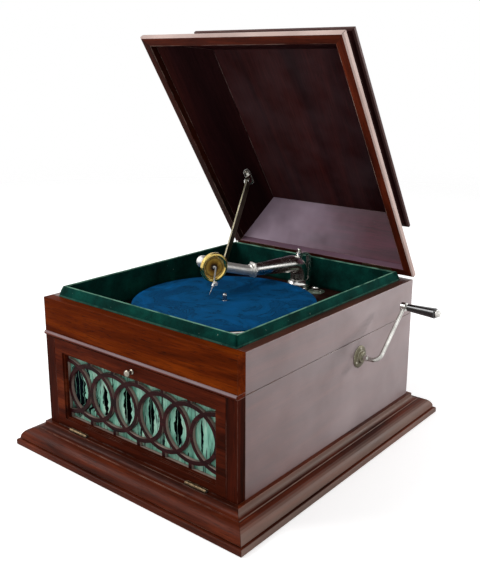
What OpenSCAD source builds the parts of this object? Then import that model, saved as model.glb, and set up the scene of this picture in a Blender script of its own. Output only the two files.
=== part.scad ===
// Tabletop gramophone with a hinged lid, a spring motor, a swinging sound arm and a hidden wooden horn.
// Origin on the floor under the middle of the cabinet. X to the right, Y to the back, Z up. Millimetres.
// The lid is drawn open and the sound arm is drawn with its needle just above the felt.

/* [Cabinet] */
// Width of the cabinet between the outer faces of its sides
cabinet_w = 400; // [396:1:420]
// Depth of the cabinet between its front and back faces
cabinet_d = 470; // [466:1:490]
// Height of the cabinet's top edge above the floor
cabinet_h = 252; // [250:1:262]
// Thickness of the side, back and front boards
board_t = 16; // [15:0.5:17]
// Height of the plain band across the top of the front
band_h = 55; // [52:1:58]
// Height of the half-round bead under the band
bead_h = 6.6; // [5.6:0.2:8]
// Width of the corner posts beside the door
post_w = 20; // [19:0.5:22]
// Width of the fine line cut along the sides, level with the bead
line_w = 1.2; // [0.8:0.1:2]
// How far the upper face of the motor board lies below the cabinet's top edge
deck_drop = 40; // [36:1:42]
// Thickness of the motor board
deck_t = 12; // [10:0.5:13]

/* [Plinth] */
// Thickness of the base slab
base_t = 10; // [9:0.5:11]
// How far the base slab stands out from the cabinet
base_out = 41; // [39:0.5:44]
// Height of the top of the plinth moulding above the floor
plinth_h = 40; // [39:0.5:41]
// Radius of the hollow under the top of the plinth
cove_r = 7; // [6:0.5:8]
// Flat ledge on top of the plinth
ledge_w = 7; // [6.5:0.5:8]

/* [Plush lining] */
// Thickness of the lining on the two sides
side_lining_t = 8; // [7:0.5:8.5]
// Thickness of the lining at the front
front_lining_t = 11.5; // [10:0.5:12.5]
// Thickness of the lining at the back
back_lining_t = 14; // [12:0.5:15]
// How far the lining stands above the cabinet's top edge
lip_h = 16.5; // [15:0.5:17]
// Width of the flat top of the lining
lip_top_w = 3; // [2.5:0.1:3.2]

/* [Door and fretwork] */
// Width of the upright rails of the door
door_stile_w = 20.5; // [19:0.5:24]
// Height of the upper rail of the door
door_top_rail = 24.5; // [22:0.5:26]
// Height of the lower rail of the door
door_low_rail = 15.5; // [15:0.5:18]
// Depth from the front of the door to the fretwork
fret_recess = 8; // [7:0.5:9]
// Thickness of the fretwork
fret_t = 5; // [4:0.5:6]
// Width of each strand of the fretwork
strand_w = 6.6; // [6:0.2:7.4]
// Half the width of each ring of the fretwork, to its middle line
ring_a = 50; // [50:0.1:51]
// Half the height of each ring of the fretwork, to its middle line
ring_b = 43; // [42:0.5:44]
// Number of whole rings across the door
ring_count = 5; // [5:1:7]
// Diameter of the door knob
knob_d = 11; // [10:0.5:13]

/* [Lid] */
// Angle that the lid stands open
lid_open = 57.56; // [50:0.5:60]
// Height of the rim of the lid
rim_h = 12; // [11.5:0.5:13]
// Height of the lid's ceiling above the underside of its rim
ceiling_h = 79.4; // [79:0.5:84]
// How far the ceiling is drawn in from the cabinet's sides
ceiling_inset = 70.5; // [68:0.5:73]
// How far the outer slope starts inside the edge of the rim
slope_step = 8; // [7:0.5:9]
// Thickness of the top board of the lid
lid_top_t = 10; // [9:0.5:12]
// How far the edge moulding of the top board is drawn in from the cabinet's sides
cornice_inset = 38.8; // [37:0.5:41]

/* [Turntable] */
// Diameter of the turntable
platter_d = 303; // [295:1:305]
// Height of the top of the felt above the motor board
felt_rise = 25.7; // [25:0.5:28]
// Thickness of the felt
felt_t = 2; // [1.5:0.5:3]
// Depth of the turntable's rim
platter_rim = 14; // [12:1:16]
// Diameter of the pin that centres the record
pin_d = 7.2; // [7:0.05:7.3]
// Height of the centre pin above the felt
pin_h = 12; // [10:1:14]

/* [Sound arm] */
// Distance from the turntable's centre to the arm's pivot
arm_reach = 209; // [207:1:211]
// Angle of the arm to the left of straight ahead
arm_angle = 18.5; // [14:0.5:22]
// Height of the arm's middle line above the motor board
arm_rise = 48; // [46:0.5:50]
// Diameter of the arm at its elbow
elbow_d = 31; // [29:0.5:32]
// Diameter of the arm at its small end
arm_end_d = 20; // [19:0.5:21]
// Distance from the pivot to the small end of the arm
arm_len = 98; // [95:0.5:100]
// Diameter of the gooseneck
neck_d = 18; // [17:0.5:19]
// Angle at which the gooseneck climbs
neck_climb = 15.3; // [14:0.1:16]
// Diameter of the sound box
box_d = 50; // [48:0.5:53]

/* [Crank] */
// Distance from the crank's axle to its grip
crank_throw = 104; // [98:1:106]
// Angle of the crank above level, towards the back
crank_angle = 43.7; // [30:0.1:60]
// Diameter of the crank's rod
crank_d = 7.2; // [6.6:0.2:8]
// Length of the crank's grip
grip_len = 50; // [46:1:54]
// How far the crank's axle lies below the upper face of the motor board
crank_drop = 51; // [49:0.5:53]

/* [Motor] */
// Radius of the spring barrel
barrel_r = 34; // [32:0.5:34]
// Teeth on the great wheel of the spring barrel
great_teeth = 60; // [54:2:64]
// Teeth on the small pinion that the great wheel turns
small_teeth = 12; // [11:1:14]
// Thickness of the mainspring
spring_t = 1.4; // [1:0.1:1.6]

/* [Hidden] */
$fn = 48;

// Clearances: a running fit on the radius, a slack fit beside moving wood, and a seat on the radius
run_gap = 0.06;
wood_gap = 0.6;
seat_gap = 0.02;
bend_step = 0.02;
bend_lap = 0.4;
cut = 1;

// Colours as they show on the real thing
mahogany = [0.36, 0.16, 0.10];
mahogany_dark = [0.20, 0.08, 0.07];
deck_wood = [0.17, 0.09, 0.06];
fret_wood = [0.23, 0.11, 0.12];
plush = [0.02, 0.24, 0.18];
felt_blue = [0.03, 0.25, 0.45];
silk = [0.47, 0.72, 0.63];
nickel = [0.78, 0.78, 0.77];
iron = [0.22, 0.23, 0.23];
brass = [0.80, 0.62, 0.26];
gold = [0.78, 0.62, 0.24];
ebony = [0.06, 0.06, 0.06];
mica = [0.72, 0.60, 0.42];
leather = [0.36, 0.22, 0.14];
steel = [0.55, 0.56, 0.58];

// Main planes of the cabinet
half_w = cabinet_w / 2;
half_d = cabinet_d / 2;
in_w = half_w - board_t;
in_d = half_d - board_t;
band_z = cabinet_h - band_h;
bead_z = band_z - bead_h;
deck_z = cabinet_h - deck_drop;

// Door: it closes the front between the posts, the sill and the bead
door_gap = 1;
sill_z = plinth_h + 0.8;
door_z0 = sill_z + door_gap;
door_z1 = bead_z - 1.6;
door_half_w = half_w - post_w - wood_gap;
open_half_w = door_half_w - door_stile_w;
open_z0 = door_z0 + door_low_rail;
open_z1 = door_z1 - door_top_rail;
fret_mid_z = (open_z0 + open_z1) / 2;
rebate = 5;
ring_pitch = 2 * open_half_w / (ring_count + 1);
door_hinge_x = 127;
door_knuckle_len = 40;
door_knuckle_r = 2.6;
door_axis = [-half_d - 3, sill_z + door_gap / 2];
knob_z = door_z1 - 11;

// Lid: all its sizes are for the closed lid, which is then swung open about its hinge
lid_gap = 0.5;
lid_axis = [half_d + 2.5, cabinet_h + lid_gap / 2];
lid_z = cabinet_h + lid_gap;
lid_hinge_x = 130;
lid_knuckle_len = 60;
lid_knuckle_r = 3;
leaf_t = 1.4;
leaf_w = 14;

// Stay: it hangs from a bracket in the lid and slides through a slot in the motor board
stay_in = 60;
stay_x = stay_in - half_w;
stay_w = 12;
stay_t = 3;
stay_back = 138.9;
stay_rise = 43.6;
stay_top_closed = [half_d - stay_back, lid_z + stay_rise];
guide_back = 125;
stay_guide_pos = [half_d - guide_back, deck_z - deck_t / 2];
stay_tail = 12;
stay_slot_l = 26;
stay_slot_w = stay_t + 2;
rivet_r = 3;

// Turntable and spindle
table_y = -31;
felt_z = deck_z + felt_rise;
platter_t = 2.5;
spindle_r = 4;

// Sound arm: x across the arm, y back along it, from its pivot
arm_pos = [-2, table_y + arm_reach];
arm_z = deck_z + arm_rise;
arm_wall = 1.2;
elbow_bend = elbow_d / 2 + 2.5;
collar_t = 3;
neck_curve = 60;
neck_bend = 15;
joint_gap = 0.4;
neck_start = arm_len + collar_t + joint_gap;
neck_arc_y = neck_start + neck_curve * sin(neck_climb);
neck_arc_z = arm_z + neck_curve * (1 - cos(neck_climb));
box_y = 193;
neck_run = (box_y - neck_arc_y) / cos(neck_climb) - neck_bend;
box_z = neck_arc_z + (neck_run + neck_bend) * sin(neck_climb);
box_back_x = neck_bend + 3;
box_t = 11;
box_face_x = box_back_x + box_t;

// Crank on the right-hand side
crank_back = 96;
crank_y = table_y + crank_back;
crank_z = deck_z - crank_drop;
crank_x = half_w + 35;
crank_bend = 13;
shaft_r = 4.5;
escutcheon_r = 18;
grip_r0 = 6;
grip_r1 = 8.5;
grip_x = crank_x + 6.5;
pin_r = 2.6;

// Motor: wheels turn between the side plates of a frame that hangs under the motor board
bed_t = 4;
bed_z = deck_z - deck_t - bed_t;
inter_pos = [table_y, bed_z - 30];
barrel_drop = 13;
train_span = 48;
barrel_pos = [inter_pos[0] + sqrt(pow(train_span, 2) - pow(barrel_drop, 2)), inter_pos[1] - barrel_drop];
great_module = 2 * train_span / (great_teeth + small_teeth);
wind_span = norm([crank_y - barrel_pos[0], crank_z - barrel_pos[1]]);
wind_teeth = 20;
arbor_teeth = 50;
wind_module = 2 * wind_span / (wind_teeth + arbor_teeth);
crown_teeth = 33;
spindle_teeth = 12;
crown_module = 1.3333;
crown_r = crown_module * crown_teeth / 2;
spindle_gear_r = crown_module * spindle_teeth / 2;
backlash = 0.36;
left_plate_x = -34;
right_plate_x = 35;
plate_t = 4;
arbor_r = 6;
inter_r = 3;
arbor_gear_x = right_plate_x + plate_t + 3;
drum_x0 = left_plate_x + plate_t + 1;
drum_x1 = 4;
drum_wall = 3;
great_x = right_plate_x - 10.5;
worm_wheel_r = 12;
worm_r = 4;
governor_pos = [worm_wheel_r + worm_r + 0.4, inter_pos[1] - 29];
governor_len = 79.5;
governor_back = table_y + 8.5;
governor_front = governor_back - governor_len;
governor_shaft_r = 2;
disc_r = 14;
disc_y = governor_front + 8;

// Speed control behind the turntable and its rod to the governor
speed_off = 39;
speed_pos = arm_pos + [speed_off, 0];
speed_plate_r = 15.5;
speed_arm = 15;
rod_r = 1.5;
rod_z = bed_z - 4;
rod_x = speed_pos[0] + speed_arm;
pad_gap = 5.2;

// Brake at the right-hand front corner of the motor board
brake_at = -50;
brake_swing = 12;
brake_gap = 0.3;
brake_reach = 38;
brake_off = 14;
brake_r = 4;
pad_t = 6;
pad_back = brake_off - brake_gap - pad_t;
brake_pos = [cos(brake_at), sin(brake_at)] * (platter_d / 2 + brake_off)
    + [sin(brake_at), -cos(brake_at)] * brake_reach + [0, table_y];

// Round helpers

// Puts a piece whose axis is local z on an axis along x, with local x along y and local y up
module along_x(x, y, z) {
    translate([x, y, z]) rotate([90, 0, 90]) children();
}

// Puts a piece whose axis is local z on an axis towards the front
module to_front(x, y, z) {
    translate([x, y, z]) rotate([90, 0, 0]) children();
}

// A frame of mitred moulding: its outline is given as half-width offsets against height
module mitred_block(profile, half_x, half_y) {
    function side(h) = concat([for (p = profile) [h + p[0], p[1]]],
                              [for (i = [len(profile) - 1:-1:0]) [-h - profile[i][0], profile[i][1]]]);
    far = 2 * (half_x + half_y);
    intersection() {
        translate([0, far / 2, 0]) rotate([90, 0, 0]) linear_extrude(far) polygon(side(half_x));
        translate([-far / 2, 0, 0]) rotate([90, 0, 90]) linear_extrude(far) polygon(side(half_y));
    }
}

// A straight block between two corners
module block(low, high) {
    translate(low) cube(high - low);
}

// Part of a ring of tube in the plane of y and z, from the start angle, where 0 is at the origin and upright
module tube_bend(bend, r, angle = 90, start = 0) {
    translate([0, -bend, 0]) rotate([90, 0, 90]) rotate([0, 0, start])
        rotate_extrude(angle = angle) translate([bend, 0]) circle(r);
}

// Points of a straight-flanked spur gear, its first tooth centred on local x
function gear_outline(teeth, modul) =
    let (pitch_r = modul * teeth / 2,
         tip_r = pitch_r + 0.85 * modul,
         root_r = pitch_r - 1.15 * modul,
         half = 90 / teeth - backlash / 4 / pitch_r * 180 / PI,
         lean = 0.36 * modul / pitch_r * 180 / PI)
    [for (i = [0:teeth - 1])
        let (a = 360 * i / teeth)
        for (p = [[root_r, -half - lean * 1.1], [pitch_r, -half], [tip_r, -half + lean],
                  [tip_r, half - lean], [pitch_r, half], [root_r, half + lean * 1.1]])
            [p[0] * cos(a + p[1]), p[0] * sin(a + p[1])]];

module spur_gear(teeth, modul, thick, turn = 0) {
    rotate([0, 0, turn]) linear_extrude(thick) polygon(gear_outline(teeth, modul));
}

// Cabinet

// Moulded section of the plinth, from the underside up: offset from the cabinet, then height
function plinth_section() =
    let (ovolo_out = base_out - 4.5, ovolo_in = ledge_w + cove_r + 2, ovolo_z0 = base_t + 1.4,
         ovolo_z1 = plinth_h - 11.5, fillet = 3)
    concat([[base_out - 8, base_t], [base_out - 8, ovolo_z0], [ovolo_out, ovolo_z0]],
           [for (i = [1:8]) let (a = 90 * i / 8)
               [ovolo_in + (ovolo_out - ovolo_in) * cos(a), ovolo_z0 + (ovolo_z1 - ovolo_z0) * sin(a)]],
           [[ovolo_in, plinth_h - fillet - cove_r]],
           [for (i = [0:6]) let (a = 90 * i / 6)
               [ledge_w + cove_r - cove_r * sin(a), plinth_h - fillet - cove_r * cos(a)]],
           [[ledge_w, plinth_h]]);

// Base slab with its upper edge rounded over
module base_board() {
    round_r = 2.5;
    section = concat([[base_out - 1, 0], [base_out, 1], [base_out, base_t - round_r]],
                     [for (i = [1:4]) let (a = 90 * i / 4)
                         [base_out - round_r * (1 - cos(a)), base_t - round_r * (1 - sin(a))]]);
    color(mahogany) mitred_block(section, half_w, half_d);
}

// Moulding round the foot of the cabinet, let in where the door hinges turn
module plinth_moulding() {
    color(mahogany) difference() {
        mitred_block(plinth_section(), half_w, half_d);
        translate([-half_w, -half_d, 0]) cube([cabinet_w, cabinet_d, cabinet_h]);
        for (s = [-1, 1])
            block([s * door_hinge_x - door_knuckle_len / 2 - 1, -half_d - ledge_w + 0.4, plinth_h - 1.6],
                  [s * door_hinge_x + door_knuckle_len / 2 + 1, -half_d + cut, plinth_h + cut]);
    }
}

module side_panel() {
    difference() {
        block([in_w, -in_d, base_t], [half_w, half_d, cabinet_h]);
        block([half_w - line_w, -half_d, bead_z + 1], [half_w + cut, half_d + cut, bead_z + 1 + line_w]);
    }
}

module left_panel() {
    color(mahogany) mirror([1, 0, 0]) side_panel();
}

// The right-hand side is bored for the winding shaft
module right_panel() {
    color(mahogany) difference() {
        side_panel();
        along_x(in_w - cut, crank_y, crank_z) cylinder(r = shaft_r + 4.5, h = board_t + 2 * cut);
    }
}

// Back board, let in for the lid hinges
module back_panel() {
    color(mahogany) difference() {
        block([-in_w, in_d, base_t], [in_w, half_d, cabinet_h]);
        for (s = [-1, 1])
            block([s * lid_hinge_x - lid_knuckle_len / 2, half_d - leaf_w, cabinet_h - leaf_t],
                  [s * lid_hinge_x + lid_knuckle_len / 2, half_d + cut, cabinet_h + cut]);
    }
}

module front_posts() {
    color(mahogany) for (s = [0, 1]) mirror([s, 0, 0])
        block([half_w - post_w, -half_d, base_t], [half_w, -in_d, bead_z]);
}

module front_band() {
    color(mahogany) block([-half_w, -half_d, band_z], [half_w, -in_d, cabinet_h]);
}

// Half-round bead between the band and the door
module front_bead() {
    nose_r = bead_h / 2;
    color(mahogany) difference() {
        union() {
            block([-half_w, -half_d, bead_z], [half_w, -in_d, band_z]);
            along_x(-half_w, -half_d, bead_z + nose_r) cylinder(r = nose_r, h = cabinet_w);
        }
        for (s = [-1, 1])
            translate([s * (door_half_w - 40), -half_d + board_t / 2, bead_z - cut])
                cylinder(r = 2.6, h = cut + 1.4);
    }
}

// Sill under the door, let in for the door hinges
module front_sill() {
    color(mahogany) difference() {
        block([-half_w + post_w, -half_d, base_t], [half_w - post_w, -in_d, sill_z]);
        for (s = [-1, 1])
            block([s * door_hinge_x - door_knuckle_len / 2, -half_d - cut, sill_z - leaf_t],
                  [s * door_hinge_x + door_knuckle_len / 2, -in_d - 3, sill_z + cut]);
    }
}

// Motor board with holes for the spindle, the horn's throat, the stay, the speed control and the brake
module motor_board() {
    color(deck_wood) difference() {
        block([-in_w, -in_d, deck_z - deck_t], [in_w, in_d, deck_z]);
        translate([0, table_y, deck_z - deck_t - cut]) cylinder(r = 15, h = deck_t + 2 * cut);
        translate([arm_pos[0], arm_pos[1], deck_z - deck_t - cut])
            cylinder(r = throat_r, h = deck_t + 2 * cut);
        translate([speed_pos[0], speed_pos[1], deck_z - deck_t - cut]) cylinder(r = 4, h = deck_t + 2 * cut);
        translate([brake_pos[0], brake_pos[1], deck_z - deck_t - cut])
            cylinder(r = brake_r + run_gap, h = deck_t + 2 * cut);
        translate([stay_x - stay_slot_w / 2, stay_guide_pos[0] - stay_slot_l / 2, deck_z - deck_t - cut])
            cube([stay_slot_w, stay_slot_l, deck_t + 2 * cut]);
    }
}

// Plush lining: a ring with a sloped outer lip, cut at the mitres into four boards
module lining_ring() {
    function lip(inner, outer) = [[inner, deck_z], [outer, deck_z], [outer, cabinet_h], [outer - 0.5, cabinet_h],
                                  [inner + lip_top_w, cabinet_h + lip_h], [inner, cabinet_h + lip_h]];
    difference() {
        intersection() {
            translate([0, cabinet_d, 0]) rotate([90, 0, 0]) linear_extrude(2 * cabinet_d)
                polygon(concat([for (p = lip(in_w - side_lining_t, in_w)) if (p[0] > in_w - side_lining_t) p],
                               [[in_w - side_lining_t, cabinet_h + lip_h],
                                [side_lining_t - in_w, cabinet_h + lip_h]],
                               [for (i = [4:-1:1]) let (p = lip(in_w - side_lining_t, in_w)[i]) [-p[0], p[1]]]));
            translate([-cabinet_w, 0, 0]) rotate([90, 0, 90]) linear_extrude(2 * cabinet_w)
                polygon(concat([for (i = [1:4]) lip(in_d - back_lining_t, in_d)[i]],
                               [for (i = [4:-1:1]) let (p = lip(in_d - front_lining_t, in_d)[i]) [-p[0], p[1]]]));
        }
        block([side_lining_t - in_w, front_lining_t - in_d, deck_z - cut],
              [in_w - side_lining_t, in_d - back_lining_t, cabinet_h + lip_h + cut]);
    }
}

// One side of the lining: the part of the ring inside a wedge seen from above
module lining_side(outer_a, outer_b, inner_b, inner_a) {
    color(plush) intersection() {
        lining_ring();
        translate([0, 0, deck_z - cut]) linear_extrude(lip_h + cabinet_h - deck_z + 2 * cut)
            polygon([outer_a, outer_b, inner_b, inner_a]);
    }
}

lining_left = side_lining_t - in_w;
lining_front = front_lining_t - in_d;
lining_back = in_d - back_lining_t;

module front_lining() {
    lining_side([-in_w, -in_d], [in_w, -in_d], [-lining_left, lining_front], [lining_left, lining_front]);
}

module back_lining() {
    lining_side([in_w, in_d], [-in_w, in_d], [lining_left, lining_back], [-lining_left, lining_back]);
}

module side_linings() {
    for (s = [0, 1]) mirror([s, 0, 0])
        lining_side([-in_w, in_d], [-in_w, -in_d], [lining_left, lining_front], [lining_left, lining_back]);
}

// Horn inside the cabinet

// The horn widens and rises by a power of the way along it, from the throat to the mouth
horn_wall = 6;
mouth_y = -in_d;
throat_fore = 28;
throat_y = arm_pos[1] - throat_fore;
throat_half = 24;
throat_z = base_t + 32;
throat_flange = 8;
throat_r = elbow_d / 2 + 4;
horn_steps = 8;
function horn_way(i) = i / horn_steps;
function horn_y(i) = throat_y + (mouth_y - throat_y) * horn_way(i);
function horn_half(i, wall) = throat_half + wall + (open_half_w - 2 - throat_half) * pow(horn_way(i), 1.5);
function horn_top(i, wall) = throat_z + throat_half + wall
    + (open_z1 - 1 - throat_z - throat_half) * pow(horn_way(i), 1.8);
function horn_low(i, wall) = throat_z - throat_half - wall
    + (open_z0 + 1 - throat_z + throat_half) * pow(horn_way(i), 1.8);

module horn_form(wall, extra) {
    steps = [for (i = [0:horn_steps]) i];
    back = [for (i = [horn_steps:-1:0]) i];
    intersection() {
        linear_extrude(cabinet_h)
            polygon(concat([[horn_half(0, wall), throat_y + extra]],
                           [[-horn_half(0, wall), throat_y + extra]],
                           [for (i = steps) [-horn_half(i, wall), horn_y(i)]],
                           [[-horn_half(horn_steps, wall), mouth_y - extra]],
                           [[horn_half(horn_steps, wall), mouth_y - extra]],
                           [for (i = back) [horn_half(i, wall), horn_y(i)]]));
        translate([-half_w, 0, 0]) rotate([90, 0, 90]) linear_extrude(cabinet_w)
            polygon(concat([[throat_y + extra, horn_low(0, wall)], [throat_y + extra, horn_top(0, wall)]],
                           [for (i = steps) [horn_y(i), horn_top(i, wall)]],
                           [[mouth_y - extra, horn_top(horn_steps, wall)],
                            [mouth_y - extra, horn_low(horn_steps, wall)]],
                           [for (i = back) [horn_y(i), horn_low(i, wall)]]));
    }
}

// Wooden horn with the board that fits its mouth to the front of the cabinet
module tone_chamber() {
    mouth_board_t = 8;
    color(deck_wood) difference() {
        union() {
            horn_form(horn_wall, 0);
            block([-in_w, mouth_y, base_t], [in_w, mouth_y + mouth_board_t, deck_z - deck_t]);
            translate([-throat_half - horn_wall, throat_y, throat_z - throat_half - horn_wall])
                cube([2 * (throat_half + horn_wall), throat_flange, 2 * (throat_half + horn_wall)]);
        }
        horn_form(0, cut);
        translate([arm_pos[0], throat_y - cut, throat_z]) rotate([-90, 0, 0])
            cylinder(r = throat_r, h = throat_flange + 2 * cut);
    }
}

// Iron elbow from under the sound arm down to the horn
module throat_elbow() {
    elbow_r = throat_r - seat_gap;
    bend = arm_pos[1] - throat_y - throat_flange;
    module way(r, extra) {
        run = r - bend_step;
        translate([arm_pos[0], arm_pos[1], throat_z + bend]) {
            translate([0, 0, -bend_lap]) cylinder(r = run, h = deck_z - throat_z - bend + bend_lap + extra);
            tube_bend(bend, r, start = -90);
        }
        to_front(arm_pos[0], throat_y + throat_flange + bend_lap, throat_z)
            cylinder(r = run, h = throat_flange + bend_lap + extra);
    }
    color(iron) difference() {
        way(elbow_r, 0);
        way(elbow_r - 2, cut);
    }
}

// Door

module door_panel_cut(grow, y0, y1) {
    block([-open_half_w - grow, y0, open_z0 - grow], [open_half_w + grow, y1, open_z1 + grow]);
}

// Door with a stepped opening and a rebate behind it for the fretwork
module door_frame() {
    step = 3;
    color(mahogany) difference() {
        block([-door_half_w, -half_d, door_z0], [door_half_w, -in_d, door_z1]);
        door_panel_cut(0, -half_d - cut, -in_d + cut);
        door_panel_cut(step, -half_d - cut, -half_d + step);
        door_panel_cut(rebate, -half_d + fret_recess, -in_d + cut);
        for (s = [-1, 1])
            block([s * door_hinge_x - door_knuckle_len / 2, -half_d - cut, door_z0 - cut],
                  [s * door_hinge_x + door_knuckle_len / 2, -in_d - 3, door_z0 + leaf_t]);
        to_front(0, -half_d + 9, knob_z) cylinder(r = 2.5 + seat_gap, h = 9 + cut);
    }
}

// Outline of an oval ring, grown by a given amount
module oval(grow) {
    polygon([for (i = [0:71]) [(ring_a + grow) * cos(5 * i), (ring_b + grow) * sin(5 * i)]]);
}

// Overlapping oval rings, tied to a thin border that sits in the rebate of the door
module fretwork() {
    border = rebate - 0.3;
    ties = [for (i = [0:ring_count + 1]) -open_half_w + ring_pitch * i];
    color(fret_wood) to_front(0, -half_d + fret_recess + fret_t, fret_mid_z) linear_extrude(fret_t) {
        intersection() {
            square([2 * open_half_w + 0.2, open_z1 - open_z0 + 0.2], center = true);
            union() {
                for (x = ties) translate([x, 0]) difference() {
                    oval(strand_w / 2);
                    oval(-strand_w / 2);
                }
                for (x = ties, s = [-1, 1])
                    translate([x, s * (ring_b + (open_z1 - open_z0) / 2) / 2])
                        square([strand_w, (open_z1 - open_z0) / 2 - ring_b + 2], center = true);
            }
        }
        difference() {
            square([2 * (open_half_w + border), open_z1 - open_z0 + 2 * border], center = true);
            square([2 * open_half_w, open_z1 - open_z0], center = true);
        }
    }
}

// Silk behind the fretwork
module grille_cloth() {
    cloth_t = 1;
    y = -half_d + fret_recess + fret_t;
    color(silk) block([-open_half_w - rebate + 1, y, open_z0 - rebate + 1],
                      [open_half_w + rebate - 1, y + cloth_t, open_z1 + rebate - 1]);
}

// Turned knob with its shank through the upper rail
module door_knob() {
    r = knob_d / 2;
    color(brass) to_front(0, -half_d + 9, knob_z) rotate_extrude()
        polygon(concat([[0, 0], [2.5, 0], [2.5, 9], [4, 9], [4, 10], [2.6, 11], [2.4, 14]],
                       [for (i = [-3:5]) let (a = 90 * i / 5) [r * cos(a), 18 + 3.6 * sin(a)]]));
}

// Butt hinges

// Knuckles of one leaf: the base leaf has every other one, starting from the outside
module knuckles(len, r, bore_r, count, own) {
    pitch = len / count;
    for (i = [0:count - 1]) if (i % 2 == own)
        translate([0, 0, -len / 2 + i * pitch + 0.15]) difference() {
            cylinder(r = r, h = pitch - 0.3, $fn = 32);
            translate([0, 0, -cut]) cylinder(r = bore_r, h = pitch + 2 * cut, $fn = 32);
        }
}

door_pin_r = 1;
lid_pin_r = 1.2;

// Strips of a leaf behind its knuckles; the other leaf's knuckles have their own gaps between them
module leaf_strips(len, count, own, y0, y1, z0, z1, reach) {
    pitch = len / count;
    for (i = [0:count - 1]) if (i % 2 == own)
        block([-len / 2 + i * pitch + 0.15, y0, z0], [-len / 2 + (i + 1) * pitch - 0.15, y1, z1]);
    block([-len / 2, min(y1, y0) + reach, z0], [len / 2, max(y1, y0), z1]);
}

module door_leaf(own, z0, bore) {
    for (s = [-1, 1]) translate([s * door_hinge_x, 0, 0]) difference() {
        union() {
            along_x(0, door_axis[0], door_axis[1]) knuckles(door_knuckle_len, door_knuckle_r, bore, 5, own);
            leaf_strips(door_knuckle_len, 5, own, door_axis[0] + door_knuckle_r * 0.6, -in_d - 3, z0, z0 + leaf_t,
                        door_knuckle_r * 0.4 + 0.4);
        }
        along_x(-door_knuckle_len, door_axis[0], door_axis[1]) cylinder(r = bore, h = 2 * door_knuckle_len, $fn = 32);
    }
}

// Fixed leaves of the lid hinges on the back board and of the door hinges on the sill
module fixed_hinge_leaves() {
    color(brass) {
        door_leaf(0, sill_z - leaf_t, door_pin_r + seat_gap);
        for (s = [-1, 1]) translate([s * lid_hinge_x, 0, 0]) lid_leaf(0, -leaf_t - lid_gap / 2, lid_pin_r + seat_gap);
    }
}

module door_hinge_leaves() {
    color(brass) door_leaf(1, door_z0, door_pin_r + run_gap);
}

// A leaf of a lid hinge, drawn for the closed lid at z = 0 on the hinge line
module lid_leaf(own, z0, bore) {
    translate([0, lid_axis[0], lid_axis[1]]) difference() {
        union() {
            rotate([90, 0, 90]) knuckles(lid_knuckle_len, lid_knuckle_r, bore, 5, own);
            mirror([0, 1, 0]) leaf_strips(lid_knuckle_len, 5, own, lid_knuckle_r * 0.6, leaf_w + lid_axis[0] - half_d,
                                          z0, z0 + leaf_t, lid_knuckle_r * 0.4 + 0.4);
        }
        rotate([90, 0, 90]) translate([0, 0, -lid_knuckle_len]) cylinder(r = bore, h = 2 * lid_knuckle_len, $fn = 32);
    }
}

module lid_hinge_leaves() {
    color(brass) open_lid() for (s = [-1, 1]) translate([s * lid_hinge_x, 0, 0])
        lid_leaf(1, lid_gap / 2, lid_pin_r + run_gap);
}

module hinge_pins() {
    color(steel) {
        for (s = [-1, 1]) {
            along_x(s * door_hinge_x - door_knuckle_len / 2, door_axis[0], door_axis[1])
                cylinder(r = door_pin_r, h = door_knuckle_len, $fn = 32);
            along_x(s * lid_hinge_x - lid_knuckle_len / 2, lid_axis[0], lid_axis[1])
                cylinder(r = lid_pin_r, h = lid_knuckle_len, $fn = 32);
        }
    }
}

// Lid

// Swings what is drawn closed to the open place
module open_lid() {
    translate([0, lid_axis[0], lid_axis[1]]) rotate([-lid_open, 0, 0]) translate([0, -lid_axis[0], -lid_axis[1]])
        children();
}

slope_in = [-board_t, rim_h];
ceiling_in = [-ceiling_inset, ceiling_h];
slope_out = [-slope_step, rim_h];
cornice_foot = [-ceiling_inset + 18.5, ceiling_h - 4.4];
// Where the outer slope would reach the height of the ceiling
slope_lean = (cornice_foot[0] - slope_out[0]) / (cornice_foot[1] - slope_out[1]);
slope_top = [cornice_foot[0] + slope_lean * (ceiling_h - cornice_foot[1]), ceiling_h];

// Rim of the lid, rounded over on its outer edge and let in for the hinges
module lid_rim() {
    r = 4;
    section = concat([[-2, 0], [0, 2], [0, rim_h - r]],
                     [for (i = [1:5]) let (a = 90 * i / 5) [-r * (1 - cos(a)), rim_h - r * (1 - sin(a))]],
                     [[-slope_step - 6, rim_h]]);
    color(mahogany) open_lid() translate([0, 0, lid_z]) difference() {
        mitred_block(section, half_w, half_d);
        translate([-in_w, -in_d, -cut]) cube([2 * in_w, 2 * in_d, rim_h + 2 * cut]);
        for (s = [-1, 1])
            block([s * lid_hinge_x - lid_knuckle_len / 2, half_d - leaf_w, -cut],
                  [s * lid_hinge_x + lid_knuckle_len / 2, half_d + cut, leaf_t]);
    }
}

// The four slopes together, closed
module slope_ring() {
    translate([0, 0, lid_z]) difference() {
        mitred_block([slope_out, slope_top], half_w, half_d);
        mitred_block([slope_in - (ceiling_in - slope_in) * 0.1, ceiling_in + (ceiling_in - slope_in) * 0.1],
                     half_w, half_d);
    }
}

module lid_slope(corner_a, corner_b, far) {
    color(mahogany_dark) open_lid() intersection() {
        slope_ring();
        translate([0, 0, lid_z]) linear_extrude(ceiling_h + cut) polygon([corner_a, corner_b, far]);
    }
}

module lid_front_slope() {
    lid_slope([-half_w, -half_d], [half_w, -half_d], [0, half_w - half_d]);
}

module lid_rear_slope() {
    lid_slope([half_w, half_d], [-half_w, half_d], [0, half_d - half_w]);
}

module lid_side_slopes() {
    for (s = [0, 1]) mirror([s, 0, 0]) color(mahogany_dark) open_lid() intersection() {
        slope_ring();
        translate([0, 0, lid_z]) linear_extrude(ceiling_h + cut)
            polygon([[half_w, -half_d], [half_w, half_d], [0, half_d - half_w], [0, half_w - half_d]]);
    }
}

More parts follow.
